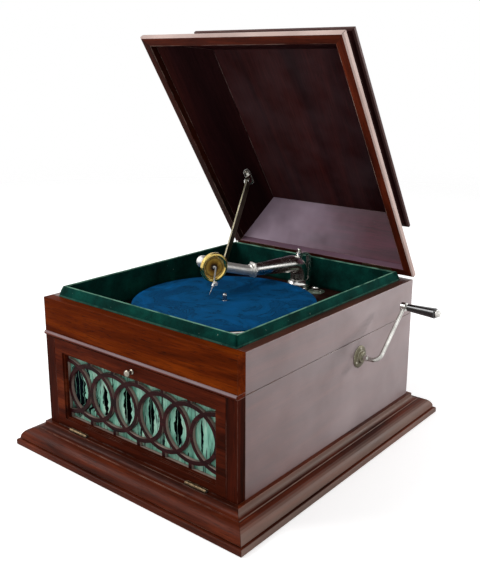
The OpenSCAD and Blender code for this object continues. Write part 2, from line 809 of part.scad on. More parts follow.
// Top board, resting on the slopes inside the cornice
module lid_top() {
    color(mahogany_dark) open_lid() translate([0, 0, lid_z + ceiling_h]) linear_extrude(lid_top_t)
        square([cabinet_w + 2 * slope_top[0], cabinet_d + 2 * slope_top[0]], center = true);
}

// Moulding round the top board, hollowed where it meets the slopes
module lid_cornice() {
    out = -cornice_inset;
    top = ceiling_h + lid_top_t;
    r = 2.5;
    section = concat([cornice_foot],
                     [for (i = [1:5]) let (a = 90 * i / 5)
                         [cornice_foot[0] + (out - 3 - cornice_foot[0]) * (1 - cos(a)),
                          cornice_foot[1] + 5.5 * sin(a)]],
                     [[out, cornice_foot[1] + 7.5], [out, top - r]],
                     [for (i = [1:4]) let (a = 90 * i / 4) [out - r * (1 - cos(a)), top - r * (1 - sin(a))]]);
    color(mahogany_dark) open_lid() translate([0, 0, lid_z]) difference() {
        mitred_block(section, half_w, half_d);
        mitred_block([cornice_foot - (slope_top - cornice_foot), cornice_foot, slope_top], half_w, half_d);
        translate([-half_w - slope_top[0], -half_d - slope_top[0], ceiling_h - cut])
            cube([cabinet_w + 2 * slope_top[0], cabinet_d + 2 * slope_top[0], lid_top_t + 2 * cut]);
    }
}

// Bracket screwed to the left-hand slope, with an ear for the stay's rivet
module stay_bracket() {
    ear_t = 3;
    h = stay_top_closed[1] - lid_z;
    slope_x = half_w - board_t - (h + 12 - rim_h) * (ceiling_inset - board_t) / (ceiling_h - rim_h);
    ear_x = -stay_x + stay_t / 2 + 0.4;
    lean = atan((ceiling_inset - board_t) / (ceiling_h - rim_h));
    color(nickel) open_lid() mirror([1, 0, 0]) {
        translate([slope_x, stay_top_closed[0], lid_z + h + 12]) rotate([0, -lean, 0]) difference() {
            union() {
                for (s = [-1, 1]) translate([-2, s * 12, 0]) rotate([0, 90, 0]) cylinder(r = 6.5, h = 2);
                block([-2, -12, -6.5], [0, 12, 6.5]);
            }
            for (s = [-1, 1]) translate([-3, s * 12, 0]) rotate([0, 90, 0]) cylinder(r = 1.8, h = 4);
        }
        along_x(ear_x, stay_top_closed[0], stay_top_closed[1]) cylinder(r = 8, h = ear_t);
        block([ear_x, stay_top_closed[0] - 6, stay_top_closed[1]],
              [ear_x + ear_t, stay_top_closed[0] + 6, lid_z + h + 12]);
        block([ear_x, stay_top_closed[0] - 6, lid_z + h + 8], [slope_x - 0.3, stay_top_closed[0] + 6, lid_z + h + 12]);
        along_x(-stay_x - stay_t / 2 - 2.4, stay_top_closed[0], stay_top_closed[1])
            cylinder(r = rivet_r, h = stay_t + 2.8 + ear_t);
        along_x(-stay_x - stay_t / 2 - 2.4, stay_top_closed[0], stay_top_closed[1]) cylinder(r = 5, h = 2);
    }
}

// Where the stay's rivet is with the lid open
stay_top_open = let (dy = stay_top_closed[0] - lid_axis[0], dz = stay_top_closed[1] - lid_axis[1])
    [lid_axis[0] + dy * cos(lid_open) + dz * sin(lid_open), lid_axis[1] - dy * sin(lid_open) + dz * cos(lid_open)];
stay_lean = atan2(stay_top_open[1] - stay_guide_pos[1], stay_top_open[0] - stay_guide_pos[0]);
stay_len = norm(stay_top_open - stay_guide_pos) + stay_tail;

// Flat bar from the lid's rivet down through the motor board
module lid_stay() {
    color(nickel) translate([stay_x, stay_top_open[0], stay_top_open[1]]) rotate([stay_lean, 0, 0])
        rotate([0, 90, 0]) translate([0, 0, -stay_t / 2]) difference() {
            union() {
                cylinder(r = stay_w / 2, h = stay_t);
                translate([-stay_w / 2, -stay_len, 0]) cube([stay_w, stay_len, stay_t]);
                translate([0, -stay_len, 0]) cylinder(r = stay_w / 2, h = stay_t);
            }
            translate([0, 0, -cut]) cylinder(r = rivet_r + run_gap, h = stay_t + 2 * cut);
        }
}

// Plate round the slot that the stay slides through
module stay_guide() {
    color(nickel) difference() {
        translate([stay_x, stay_guide_pos[0], deck_z]) linear_extrude(1.5)
            square([14, stay_slot_l + 16], center = true);
        translate([stay_x - stay_slot_w / 2, stay_guide_pos[0] - stay_slot_l / 2, deck_z - cut])
            cube([stay_slot_w, stay_slot_l, 1.5 + 2 * cut]);
        for (s = [-1, 1]) translate([stay_x, stay_guide_pos[0] + s * (stay_slot_l / 2 + 4), deck_z - cut])
            cylinder(r = 1.5, h = 4);
    }
}

// Turntable

platter_r = platter_d / 2;

// Pressed dish with a turned-down rim and a hub
module turntable_platter() {
    top = felt_z - felt_t;
    color(nickel) translate([0, table_y, 0]) difference() {
        union() {
            translate([0, 0, top - platter_rim]) rotate_extrude($fn = 128)
                polygon([[0, platter_rim - platter_t], [platter_r - 3, platter_rim - platter_t], [platter_r - 3, 0],
                         [platter_r, 0], [platter_r, platter_rim - 1.5], [platter_r - 1.5, platter_rim],
                         [0, platter_rim]]);
            translate([0, 0, top - platter_rim + 0.5]) cylinder(r = 14, h = platter_rim - platter_t);
        }
        translate([0, 0, top - platter_rim - cut]) cylinder(r = spindle_r + seat_gap, h = platter_rim + 2 * cut);
    }
}

module turntable_felt() {
    color(felt_blue) translate([0, table_y, felt_z - felt_t]) difference() {
        cylinder(r = platter_r - 1.5, h = felt_t, $fn = 128);
        translate([0, 0, -cut]) cylinder(r = spindle_r + seat_gap, h = felt_t + 2 * cut);
    }
}

spindle_foot = governor_pos[1] - 12;

// Spindle with the pinion that the crown wheel drives and the wheel that drives the governor
module spindle() {
    color(steel) translate([0, table_y, 0]) {
        translate([0, 0, spindle_foot]) cylinder(r = spindle_r, h = felt_z - spindle_foot);
        translate([0, 0, felt_z]) cylinder(r = pin_d / 2, h = pin_h - pin_d / 2);
        translate([0, 0, felt_z + pin_h - pin_d / 2]) sphere(r = pin_d / 2);
        translate([0, 0, inter_pos[1] + crown_r - 4])
            spur_gear(spindle_teeth, crown_module, 8, 180 / spindle_teeth);
        translate([0, 0, governor_pos[1] - 3]) spur_gear(28, 2 * worm_wheel_r / 29.7, 6);
    }
}

// Crank

// Rod in two straight runs with a bend, and a boss for the grip's pin
module crank_arm() {
    color(nickel) translate([0, crank_y, crank_z]) rotate([crank_angle, 0, 0]) {
        difference() {
            union() {
                along_x(half_w - 30, 0, 0) cylinder(r = shaft_r, h = 45);
                along_x(half_w + 14, 0, 0) cylinder(r1 = shaft_r, r2 = crank_d / 2, h = 4);
                along_x(half_w + 17, 0, 0) cylinder(r = crank_d / 2, h = crank_x - half_w - 17 - crank_bend);
                translate([crank_x - crank_bend, crank_bend, 0]) rotate([0, 0, -90])
                    rotate_extrude(angle = 90) translate([crank_bend, 0]) circle(crank_d / 2);
                translate([crank_x, crank_bend, 0]) rotate([-90, 0, 0])
                    cylinder(r1 = crank_d / 2, r2 = crank_d / 2 - 0.4, h = crank_throw - crank_bend);
                along_x(crank_x - 4, crank_throw, 0) cylinder(r = 7, h = 8);
            }
            along_x(crank_x - 5, crank_throw, 0) cylinder(r = pin_r + seat_gap, h = 10);
        }
    }
}

// Pin that the grip turns on, with a domed head outside
module grip_pin() {
    head_x = grip_x + grip_len + 0.4;
    color(nickel) translate([0, crank_y, crank_z]) rotate([crank_angle, 0, 0]) {
        along_x(crank_x - 4, crank_throw, 0) cylinder(r = pin_r, h = head_x + 1 - crank_x + 4);
        along_x(head_x, crank_throw, 0) rotate_extrude()
            polygon(concat([[0, 0], [6.4, 0], [6.4, 1.6]],
                           [for (i = [0:5]) let (a = 90 * i / 5) [5.6 * cos(a), 2 + 5 * sin(a)]]));
    }
}

// Turned grip, wider towards its outer end
module crank_grip() {
    color(ebony) translate([0, crank_y, crank_z]) rotate([crank_angle, 0, 0])
        along_x(grip_x, crank_throw, 0) rotate_extrude()
            polygon([[pin_r + run_gap, 0], [grip_r0 - 0.8, 0], [grip_r0, 0.8], [grip_r0 + 0.5, grip_len * 0.25],
                     [grip_r0 + 1.2, grip_len * 0.5], [grip_r1 - 0.6, grip_len * 0.78], [grip_r1, grip_len - 2],
                     [grip_r1 - 1, grip_len], [pin_r + run_gap, grip_len]]);
}

// Domed plate and bush that the crank passes through
module crank_escutcheon() {
    color(nickel) along_x(half_w, crank_y, crank_z) difference() {
        union() {
            rotate_extrude() polygon([[0, 0], [escutcheon_r, 0], [escutcheon_r, 1.2], [escutcheon_r - 1.5, 2.2],
                                      [10.5, 3.4], [9, 6.5], [8.2, 7.2], [0, 7.2]]);
            translate([0, 0, -board_t]) cylinder(r = shaft_r + 4.4, h = board_t + 1);
        }
        translate([0, 0, -board_t - cut]) cylinder(r = shaft_r + run_gap, h = board_t + 12);
        for (i = [0:2]) rotate([0, 0, 90 + 120 * i]) translate([13.8, 0, -cut]) cylinder(r = 1.6, h = 6);
    }
}

// Inner shaft: a sleeve that the crank plugs into, with the pinion that winds the spring
module winding_shaft() {
    inner_x = right_plate_x - 8;
    face_x = half_w - board_t - 0.6;
    mesh_turn = atan2(barrel_pos[1] - crank_z, barrel_pos[0] - crank_y);
    color(steel) along_x(0, crank_y, crank_z) difference() {
        union() {
            translate([0, 0, inner_x]) cylinder(r = 5, h = 10 + arbor_gear_x - inner_x);
            translate([0, 0, arbor_gear_x - 1])
                spur_gear(wind_teeth, wind_module, 6, mesh_turn + 180 / wind_teeth);
            translate([0, 0, arbor_gear_x + 8]) cylinder(r = 7.5, h = face_x - arbor_gear_x - 8);
        }
        translate([0, 0, half_w - 30]) cylinder(r = shaft_r + seat_gap, h = 60);
    }
}

// Motor

// Ring of teeth on the face of a wheel, the first one centred on local x, pointing along local -z
module crown_wheel(teeth, modul, thick) {
    r = modul * teeth / 2;
    half = PI * modul / 4 - backlash / 2;
    cylinder(r = r + 3, h = thick);
    for (i = [0:teeth - 1]) rotate([0, 0, 360 * i / teeth])
        translate([r - 3, 0, 0]) rotate([90, 0, 90]) linear_extrude(6)
            polygon([[half + 0.4, 0.5], [-half - 0.4, 0.5], [-half - 0.35, 0], [-half + 0.75, -2.1],
                     [half - 0.75, -2.1], [half + 0.35, 0]]);
}

// Shaft with the small pinion, and the crown wheel that turns the spindle
module intermediate_gear() {
    mesh_turn = atan2(barrel_pos[1] - inter_pos[1], barrel_pos[0] - inter_pos[0]);
    face_x = spindle_gear_r + 1.15 * crown_module * 0.9;
    color(brass) along_x(0, inter_pos[0], inter_pos[1]) {
        translate([0, 0, face_x]) rotate([0, 0, 90]) crown_wheel(crown_teeth, crown_module, 3.5);
        translate([0, 0, face_x + 2]) cylinder(r = inter_r, h = right_plate_x + plate_t - face_x - 1);
        translate([0, 0, right_plate_x - 12])
            spur_gear(small_teeth, great_module, 9, mesh_turn + 180 / small_teeth);
    }
}

// Drum with the great wheel on its right-hand end
module spring_barrel() {
    wheel_turn = atan2(inter_pos[1] - barrel_pos[1], inter_pos[0] - barrel_pos[0]);
    color(iron) along_x(0, barrel_pos[0], barrel_pos[1]) difference() {
        union() {
            translate([0, 0, drum_x0]) cylinder(r = barrel_r, h = drum_x1 - drum_x0, $fn = 96);
            translate([0, 0, great_x]) spur_gear(great_teeth, great_module, 6, wheel_turn);
            translate([0, 0, drum_x1 - 1]) cylinder(r = 12, h = great_x - drum_x1 + 2);
        }
        translate([0, 0, drum_x0 + drum_wall])
            cylinder(r = barrel_r - drum_wall, h = drum_x1 - drum_x0 - 2 * drum_wall, $fn = 96);
        translate([0, 0, drum_x0 - cut]) cylinder(r = arbor_r + run_gap, h = great_x + 10 - drum_x0);
    }
}

// Flat spring wound in the barrel
module mainspring() {
    turns = 8;
    per_turn = 18;
    r0 = arbor_r + 1.5;
    r1 = barrel_r - drum_wall - 0.4 - spring_t;
    spring_x = drum_x0 + drum_wall + 1;
    spring_w = drum_x1 - drum_x0 - 2 * drum_wall - 2;
    function coil(i, t) = let (a = 360 * i / per_turn, r = r0 + (r1 - r0) * i / (turns * per_turn) + t)
        [r * cos(a), r * sin(a)];
    n = turns * per_turn;
    color(steel) along_x(spring_x, barrel_pos[0], barrel_pos[1]) linear_extrude(spring_w)
        polygon(concat([for (i = [0:n]) coil(i, 0)], [for (i = [n:-1:0]) coil(i, spring_t)]));
}

// Arbor through the barrel, with the wheel that the winding pinion turns
module barrel_arbor() {
    x0 = left_plate_x - 2;
    wheel_turn = atan2(crank_z - barrel_pos[1], crank_y - barrel_pos[0]);
    color(steel) along_x(0, barrel_pos[0], barrel_pos[1]) {
        translate([0, 0, x0]) cylinder(r = arbor_r, h = arbor_gear_x + 8 - x0);
        translate([0, 0, arbor_gear_x]) spur_gear(arbor_teeth, wind_module, 4, wheel_turn);
        translate([0, 0, arbor_gear_x - 2.4]) cylinder(r = 11, h = 3);
    }
}

// Governor: a shaft with a worm, three weights on flat springs and a friction disc
module governor() {
    len = governor_back - governor_front;
    fixed_y = 28.5;
    spring_l = 20;
    weight_r = 12.5;
    module on_shaft(y) {
        translate([governor_pos[0], governor_back - y, governor_pos[1]]) rotate([90, 0, 0]) children();
    }
    color(brass) {
        on_shaft(0) cylinder(r = governor_shaft_r, h = len);
        on_shaft(3.5) for (i = [0:6]) translate([0, 0, i * 2]) cylinder(r1 = worm_r - 1, r2 = worm_r, h = 1);
        on_shaft(3.5) cylinder(r = worm_r - 1, h = 13);
        on_shaft(fixed_y) cylinder(r = 5, h = 4);
        on_shaft(fixed_y + spring_l + 4) cylinder(r = 5, h = 4);
        on_shaft(governor_back - disc_y) cylinder(r = disc_r, h = 2);
        for (i = [0:2]) on_shaft(fixed_y) rotate([0, 0, 120 * i]) {
            translate([4, -2.5, 0]) cube([9.5, 5, 0.8]);
            translate([4, -2.5, spring_l + 7.2]) cube([9.5, 5, 0.8]);
            translate([12.7, -2.5, 0]) cube([0.8, 5, spring_l + 8]);
            translate([weight_r, 0, spring_l / 2]) cylinder(r = 4.5, h = 8);
        }
    }
}

// Cast frame: a bed under the motor board, side plates and hangers that hold every bearing
module motor_frame() {
    y0 = governor_front - 8;
    y1 = crank_y + 14;
    hanger_x = 17;
    color(iron) difference() {
        union() {
            block([left_plate_x, y0, bed_z], [right_plate_x + plate_t, y1, bed_z + bed_t]);
            translate([0, table_y, bed_z - 2]) cylinder(r = 9, h = 14);
            block([left_plate_x, barrel_pos[0] - 14, barrel_pos[1] - 12],
                  [left_plate_x + plate_t, barrel_pos[0] + 14, bed_z + cut]);
            block([right_plate_x, inter_pos[0] - 9, barrel_pos[1] - 12],
                  [right_plate_x + plate_t, crank_y + 9, bed_z + cut]);
            block([hanger_x, inter_pos[0] - 6, inter_pos[1] - 6], [hanger_x + 3.6, governor_back, bed_z + cut]);
            block([governor_pos[0] - 3, governor_back - 3, governor_pos[1] - 5],
                  [governor_pos[0] + 6, governor_back, inter_pos[1] + 8]);
            block([governor_pos[0] - 5, governor_front, governor_pos[1] - 5],
                  [governor_pos[0] + 5, governor_front + 3, bed_z + cut]);
            block([-9, table_y - 8, spindle_foot - 5], [right_plate_x + cut, table_y + 6, spindle_foot + 3]);
            block([right_plate_x, table_y - 8, spindle_foot - 5],
                  [right_plate_x + plate_t, table_y + 6, barrel_pos[1]]);
        }
        translate([0, table_y, bed_z - 10]) cylinder(r = spindle_r + run_gap, h = 40);
        translate([0, table_y, spindle_foot - 0.1]) cylinder(r = spindle_r + run_gap, h = 10);
        along_x(left_plate_x - cut, barrel_pos[0], barrel_pos[1]) 
            cylinder(r = arbor_r + run_gap, h = right_plate_x + plate_t - left_plate_x + 2 * cut);
        along_x(hanger_x - cut, inter_pos[0], inter_pos[1])
            cylinder(r = inter_r + run_gap, h = right_plate_x + plate_t - hanger_x + 2 * cut);
        along_x(right_plate_x - cut, crank_y, crank_z) cylinder(r = 5 + run_gap, h = plate_t + 2 * cut);
        translate([governor_pos[0], governor_back + cut, governor_pos[1]]) rotate([90, 0, 0])
            cylinder(r = governor_shaft_r + run_gap, h = governor_len + 2 * cut);
    }
}

// Sound arm

module at_arm() {
    translate([arm_pos[0], arm_pos[1], 0]) rotate([0, 0, -arm_angle]) children();
}

pivot_top = arm_z + 14.5;
base_bore = elbow_d / 2 + run_gap;

// Foot, bearing collar and the curved bracket that reaches over the elbow
module tonearm_base() {
    foot_r = elbow_d / 2 + 6.5;
    bracket_w = 9;
    back = elbow_d / 2 + 3.4;
    bar = 4.5;
    color(nickel) at_arm() difference() {
        union() {
            translate([0, 0, deck_z]) rotate_extrude()
                polygon([[base_bore, 0], [foot_r, 0], [foot_r, 1.6], [foot_r - 1.6, 3], [base_bore + 4, 4],
                         [base_bore + 2.5, 6], [base_bore + 2.5, 13], [base_bore, 13]]);
            block([-bracket_w / 2, base_bore + 1, deck_z + 4], [bracket_w / 2, back + bar, deck_z + 10]);
            block([-bracket_w / 2, back, deck_z + 4], [bracket_w / 2, back + bar, pivot_top - 7]);
            translate([-bracket_w / 2, back + bar - 12, pivot_top - 7.4]) rotate([90, 0, 90]) difference() {
                intersection() {
                    cylinder(r = 12, h = bracket_w);
                    cube([12, 12, bracket_w]);
                }
                translate([0, 0, -cut]) cylinder(r = 12 - bar, h = bracket_w + 2 * cut);
            }
            block([-bracket_w / 2, 0, pivot_top + 12 - 7.4 - bar], [bracket_w / 2, back + bar - 11.8, pivot_top + 4.6]);
            translate([0, 0, pivot_top + 4.6 - bar]) cylinder(r = 6, h = bar);
        }
        translate([0, 0, pivot_top - cut]) cylinder(r = 2.5 + seat_gap, h = 10);
    }
}

// Pivot screw with a turned finial, on top of the bracket
module pivot_screw() {
    color(nickel) at_arm() translate([0, 0, pivot_top + 0.3]) rotate_extrude()
        polygon(concat([[0, 0], [2.5, 0.6], [2.5, 4.3], [4.6, 4.3], [4.6, 5.4], [2.2, 6.4], [2, 7.4]],
                       [for (i = [-3:5]) let (a = 90 * i / 5) [3.4 * cos(a), 9.6 + 3.4 * sin(a)]]));
}

// Elbow and tapered tube, open from the base to the small end
module tonearm_tube() {
    r = elbow_d / 2;
    foot = deck_z + 3;
    straight = arm_z - elbow_bend;
    module way(wall, extra) {
        translate([0, 0, foot - extra]) cylinder(r = r - wall, h = straight - foot + extra);
        translate([0, 0, straight]) tube_bend(elbow_bend, r - wall);
        to_front(0, -elbow_bend, arm_z)
            cylinder(r1 = r - wall, r2 = arm_end_d / 2 - wall, h = arm_len - elbow_bend + extra);
    }
    color(nickel) at_arm() difference() {
        union() {
            way(0, 0);
            translate([0, 0, arm_z + 4]) cylinder(r = 5, h = pivot_top - arm_z - 4);
            to_front(0, -arm_len + 3, arm_z) cylinder(r = arm_end_d / 2 + 1.5, h = 3);
        }
        intersection() {
            way(arm_wall, cut);
            translate([-elbow_d, -arm_len - elbow_d, deck_z - elbow_d])
                cube([2 * elbow_d, arm_len + 2 * elbow_d, arm_z - deck_z + 3 * elbow_d]);
        }
        translate([0, 0, pivot_top - 2]) cylinder(r = 0.8, h = 4);
    }
}

// Collar and curved tube that carry the sound box; they turn about the arm's middle line
module gooseneck() {
    r = neck_d / 2;
    // Straight runs are a hair thinner than the bends and reach a little into them
    module way(wall, extra) {
        run = r - wall - bend_step;
        to_front(0, extra - arm_len - joint_gap, arm_z) cylinder(r = run, h = collar_t + extra + bend_lap);
        translate([0, neck_curve - neck_start, arm_z + neck_curve])
            tube_bend(neck_curve, r - wall, neck_climb, -90 - neck_climb);
        translate([0, -neck_arc_y, neck_arc_z]) rotate([90 - neck_climb, 0, 0]) {
            translate([0, 0, -bend_lap]) cylinder(r = run, h = neck_run + 2 * bend_lap);
            translate([neck_bend, 0, neck_run]) rotate([90, 0, 180]) rotate_extrude(angle = 90)
                translate([neck_bend, 0]) circle(r - wall);
            translate([neck_bend - bend_lap, 0, neck_run + neck_bend]) rotate([0, 90, 0])
                cylinder(r = run, h = bend_lap + box_back_x - neck_bend + extra);
        }
    }
    color(nickel) at_arm() difference() {
        union() {
            way(0, 0);
            to_front(0, -arm_len - joint_gap, arm_z) cylinder(r = 15, h = collar_t, $fn = 6);
            to_front(0, -neck_start, arm_z) cylinder(r = r + 2, h = 5);
        }
        way(arm_wall, 0.3);
    }
}

// Sound box

module at_box(x) {
    at_arm() along_x(x, -box_y, box_z) children();
}

// Cup-shaped casing, open at the front and joined to the gooseneck at the back
module soundbox_shell() {
    r = box_d / 2;
    color(gold) at_box(box_back_x) difference() {
        rotate_extrude($fn = 96)
            polygon([[neck_d / 2 - arm_wall, 0], [neck_d / 2 + 2.5, 0], [neck_d / 2 + 2.5, 2.5], [r - 4, 3.5],
                     [r - 1.2, 4.4], [r - 1.2, box_t - 3.2], [r - 4.5, box_t - 3.2], [r - 4.5, 5.5],
                     [neck_d / 2 - arm_wall, 5.5]]);
    }
}

// Face ring that clamps the diaphragm
module soundbox_bezel() {
    r = box_d / 2;
    color(gold) at_box(box_back_x + box_t - 3.2) rotate_extrude($fn = 96)
        polygon([[r - 1.2, -3], [r, -2.6], [r, 1.6], [r - 1.6, 3.2], [r - 4.5, 3.4], [r - 6.5, 1.6], [r - 6.5, 0.02],
                 [r - 1.2, 0.02]]);
}

module diaphragm() {
    color(mica) at_box(box_back_x + box_t - 4.2) cylinder(r = box_d / 2 - 4.6, h = 0.5, $fn = 96);
}

// The needle leans forward and ends just above the felt
needle_lean = 27;
needle_gap = 0.4;
chuck_drop = box_d / 2 + 1;
chuck_fwd = 4;
needle_r = 0.75;
chuck_out = box_t + 3.1;
needle_reach = (box_z - chuck_drop - felt_z - needle_gap) / cos(needle_lean);

// Lever from the middle of the diaphragm to the needle's chuck, with its pivot bar and thumb screw
module stylus_bar() {
    face = box_t - 3.7;
    lever = norm([chuck_drop, chuck_fwd]);
    tilt = atan2(chuck_fwd, chuck_drop);
    color(nickel) at_box(box_back_x) {
        translate([0, 0, face + 0.02]) cylinder(r = 2.6, h = 1.6);
        rotate([0, 0, -tilt]) {
            translate([-1.2, -lever, face + 4.4]) cube([2.4, lever, 1.8]);
            translate([0, 0, face + 0.5]) cylinder(r = 1.3, h = 5.7);
        }
        translate([-chuck_fwd, -chuck_drop, chuck_out]) rotate([90, 0, -needle_lean]) difference() {
            translate([0, 0, -4]) cylinder(r = 2.8, h = 9);
            translate([0, 0, 1]) cylinder(r = needle_r + seat_gap, h = 9);
        }
        translate([-chuck_fwd, -chuck_drop + 1, chuck_out]) {
            cylinder(r = 1.5, h = 5);
            translate([0, 0, 3.6]) cylinder(r = 3.4, h = 3.4);
        }
    }
}

module needle() {
    color(steel) at_box(box_back_x) translate([-chuck_fwd, -chuck_drop, chuck_out])
        rotate([90, 0, -needle_lean]) {
            translate([0, 0, 1]) cylinder(r = needle_r, h = needle_reach - 7);
            translate([0, 0, needle_reach - 6]) cylinder(r1 = needle_r, r2 = 0.15, h = 6);
        }
}

// Speed control

module speed_plate() {
    color([0.55, 0.66, 0.58]) translate([speed_pos[0], speed_pos[1], deck_z]) difference() {
        cylinder(r = speed_plate_r, h = 1);
        translate([0, 0, -cut]) cylinder(r = 3 + run_gap, h = 4);
    }
}

// Knob with a pointer; its shaft carries a crank pin under the motor board
module speed_knob() {
    low = rod_z - 4;
    color(nickel) translate([speed_pos[0], speed_pos[1], 0]) {
        translate([0, 0, low]) cylinder(r = 3, h = deck_z + 2 - low);
        translate([0, 0, deck_z + 1.4]) rotate_extrude()
            polygon([[0, 0], [5.5, 0], [5.5, 2], [7.5, 3], [7.5, 7], [6.5, 8.5], [0, 9]]);
        block([0, -1.2, deck_z + 1.6], [12.5, 1.2, deck_z + 3]);
        block([0, -3, low], [speed_arm, 3, low + 2]);
        translate([speed_arm, 0, low]) cylinder(r = 1.2, h = 6);
    }
}

// Wire from the speed control's crank pin to the governor, with a pad facing the friction disc
module regulator_rod() {
    end_y = disc_y + pad_gap;
    color(steel) difference() {
        union() {
            translate([rod_x, end_y + 1, rod_z]) rotate([-90, 0, 0])
                cylinder(r = rod_r, h = speed_pos[1] - 5 - end_y - 1);
            block([rod_x - 4, speed_pos[1] - 5.5, rod_z - 1.5], [rod_x + 4, speed_pos[1] + 5.5, rod_z + 1.5]);
            block([rod_x - 2, end_y, governor_pos[1] + 4], [rod_x + 2, end_y + 3, rod_z + 1.5]);
            block([governor_pos[0] + 7, end_y, governor_pos[1] + 3], [rod_x + 2, end_y + 3, governor_pos[1] + 9]);
        }
        block([rod_x - 2.4, speed_pos[1] - 1.3, rod_z - 5], [rod_x + 2.4, speed_pos[1] + 1.3, rod_z + 5]);
    }
}

// Brake

// Puts what is drawn with the pad just off the turntable's rim in its place, swung off
module at_brake() {
    translate([brake_pos[0], brake_pos[1], deck_z]) rotate([0, 0, brake_at + 90 - brake_swing]) children();
}

// Lever on a post in the motor board, with a finger tab and a seat for the pad
module brake_lever() {
    color(nickel) at_brake() {
        translate([0, 0, -deck_t + 2]) cylinder(r = brake_r, h = deck_t + 10);
        translate([0, 0, 0.5]) cylinder(r = 8, h = 4);
        block([0, -3.5, 9], [brake_reach + 6, 3.5, 12]);
        block([-18, -3.5, 9], [0, 3.5, 12]);
        translate([0, 0, 9]) cylinder(r = 7, h = 4.5);
        translate([-18, 0, 9]) cylinder(r = 6, h = 5);
        block([brake_reach - 8, 3, 9], [brake_reach + 8, pad_back, 20]);
    }
}

module brake_pad() {
    color(leather) at_brake() block([brake_reach - 7, pad_back, 11], [brake_reach + 7, pad_back + pad_t, 19.5]);
}

base_board();
plinth_moulding();
left_panel();
right_panel();
back_panel();
front_posts();
front_band();
front_bead();
front_sill();
motor_board();
front_lining();
back_lining();
side_linings();
tone_chamber();
throat_elbow();
crank_escutcheon();
fixed_hinge_leaves();
hinge_pins();
stay_guide();
speed_plate();
motor_frame();
tonearm_base();
pivot_screw();
lid_rim();
lid_front_slope();
lid_rear_slope();
lid_side_slopes();
lid_top();
lid_cornice();
lid_hinge_leaves();
stay_bracket();
lid_stay();
door_frame();
fretwork();
grille_cloth();
door_knob();
door_hinge_leaves();
turntable_platter();
turntable_felt();
spindle();
crank_arm();
winding_shaft();
grip_pin();
crank_grip();
barrel_arbor();
spring_barrel();
mainspring();
intermediate_gear();
governor();
tonearm_tube();
gooseneck();
soundbox_shell();
soundbox_bezel();
diaphragm();
stylus_bar();
needle();
speed_knob();
regulator_rod();
brake_lever();
brake_pad();
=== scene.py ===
"""Looks of the tabletop gramophone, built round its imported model.

Lengths are metres in the part's own frame: +X towards the crank, +Y to the back, +Z up.
"""

import math
import random

import bmesh
import bpy
from mathutils import Matrix, Vector, noise


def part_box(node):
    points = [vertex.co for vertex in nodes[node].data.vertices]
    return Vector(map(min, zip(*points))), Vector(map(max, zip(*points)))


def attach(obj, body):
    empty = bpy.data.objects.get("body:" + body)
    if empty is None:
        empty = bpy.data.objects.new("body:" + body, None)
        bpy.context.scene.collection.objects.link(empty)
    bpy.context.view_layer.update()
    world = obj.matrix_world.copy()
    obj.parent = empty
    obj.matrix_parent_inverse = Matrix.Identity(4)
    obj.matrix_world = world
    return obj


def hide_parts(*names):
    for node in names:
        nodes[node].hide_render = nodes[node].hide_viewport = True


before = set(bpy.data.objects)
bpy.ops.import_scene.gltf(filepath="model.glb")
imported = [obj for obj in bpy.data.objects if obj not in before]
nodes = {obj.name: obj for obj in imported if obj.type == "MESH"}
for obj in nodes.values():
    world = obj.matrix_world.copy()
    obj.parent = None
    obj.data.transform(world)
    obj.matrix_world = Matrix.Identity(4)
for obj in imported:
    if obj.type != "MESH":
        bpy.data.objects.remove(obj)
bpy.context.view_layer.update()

MM = 0.001
# Cabinet: half its width and depth, the inner faces of its walls, and the heights of motor board and rim
HALF_W = 0.200
HALF_D = 0.235
WALL_X = 0.184
WALL_Y = 0.219
DECK_Z = 0.212
RIM_Z = 0.252
# Plush lining: the height of its top, and the thickness of its side, front and back boards
LIP_Z = 0.2685
SIDE_LINING = 8 * MM
FRONT_LINING = 11.5 * MM
BACK_LINING = 14 * MM
# Lid: its hinge, how far it stands open, and where the rear rail of its rim starts
LID_AXIS = Vector((0.0, 0.2375, 0.25225))
LID_OPEN = math.radians(57.56)
REAR_RAIL_Y = 0.205
# Left slope of the shut lid: the way its inner face looks, and the stay bracket's place on it
LEFT_SLOPE_WAY = (0.7776, 0, -0.6288)
BRACKET_X, BRACKET_Z = -0.14719, 0.30684
# Sound arm: its pivot, its angle to the left, and the height of the sound box's middle
ARM_PIVOT = Vector((-0.002, 0.178, 0.0))
ARM_ANGLE = math.radians(18.5)
SOUND_BOX_Z = 0.2829
# Middle of the speed dial, axle of the crank, and the stay's guide plate
DIAL = Vector((0.037, 0.178, 0.2131))
CRANK_Y, CRANK_Z = 0.065, 0.161
GUIDE_X, GUIDE_TOP = -0.140, 0.2134


# Colours and nodes

def paint(code):
    """An sRGB hex colour as linear red, green, blue and alpha."""
    parts = [int(code[i:i + 2], 16) / 255 for i in (1, 3, 5)]
    linear = [p / 12.92 if p <= 0.04045 else ((p + 0.055) / 1.055) ** 2.4 for p in parts]
    return (*linear, 1.0)


def add(tree, kind, settings=None, links=None):
    """Adds a node with its settings and links.

    A setting in small letters is the node's own, "stops" fills its colour ramp, and any other is an input.
    A link comes from a socket, or from the first output of a node.
    """
    node = tree.nodes.new(kind)
    for key, value in (settings or {}).items():
        if key == "stops":
            ramp = node.color_ramp.elements
            while len(ramp) < len(value):
                ramp.new(0.5)
            for stop, (place, code) in zip(ramp, value):
                stop.position = place
                stop.color = paint(code)
        elif isinstance(key, str) and key[0].islower():
            setattr(node, key, value)
        else:
            node.inputs[key].default_value = value
    connect(tree, node, links or {})
    return node


def connect(tree, node, links):
    """Links a node's inputs."""
    for key, source in links.items():
        socket = source.outputs[0] if isinstance(source, bpy.types.Node) else source
        tree.links.new(socket, node.inputs[key])


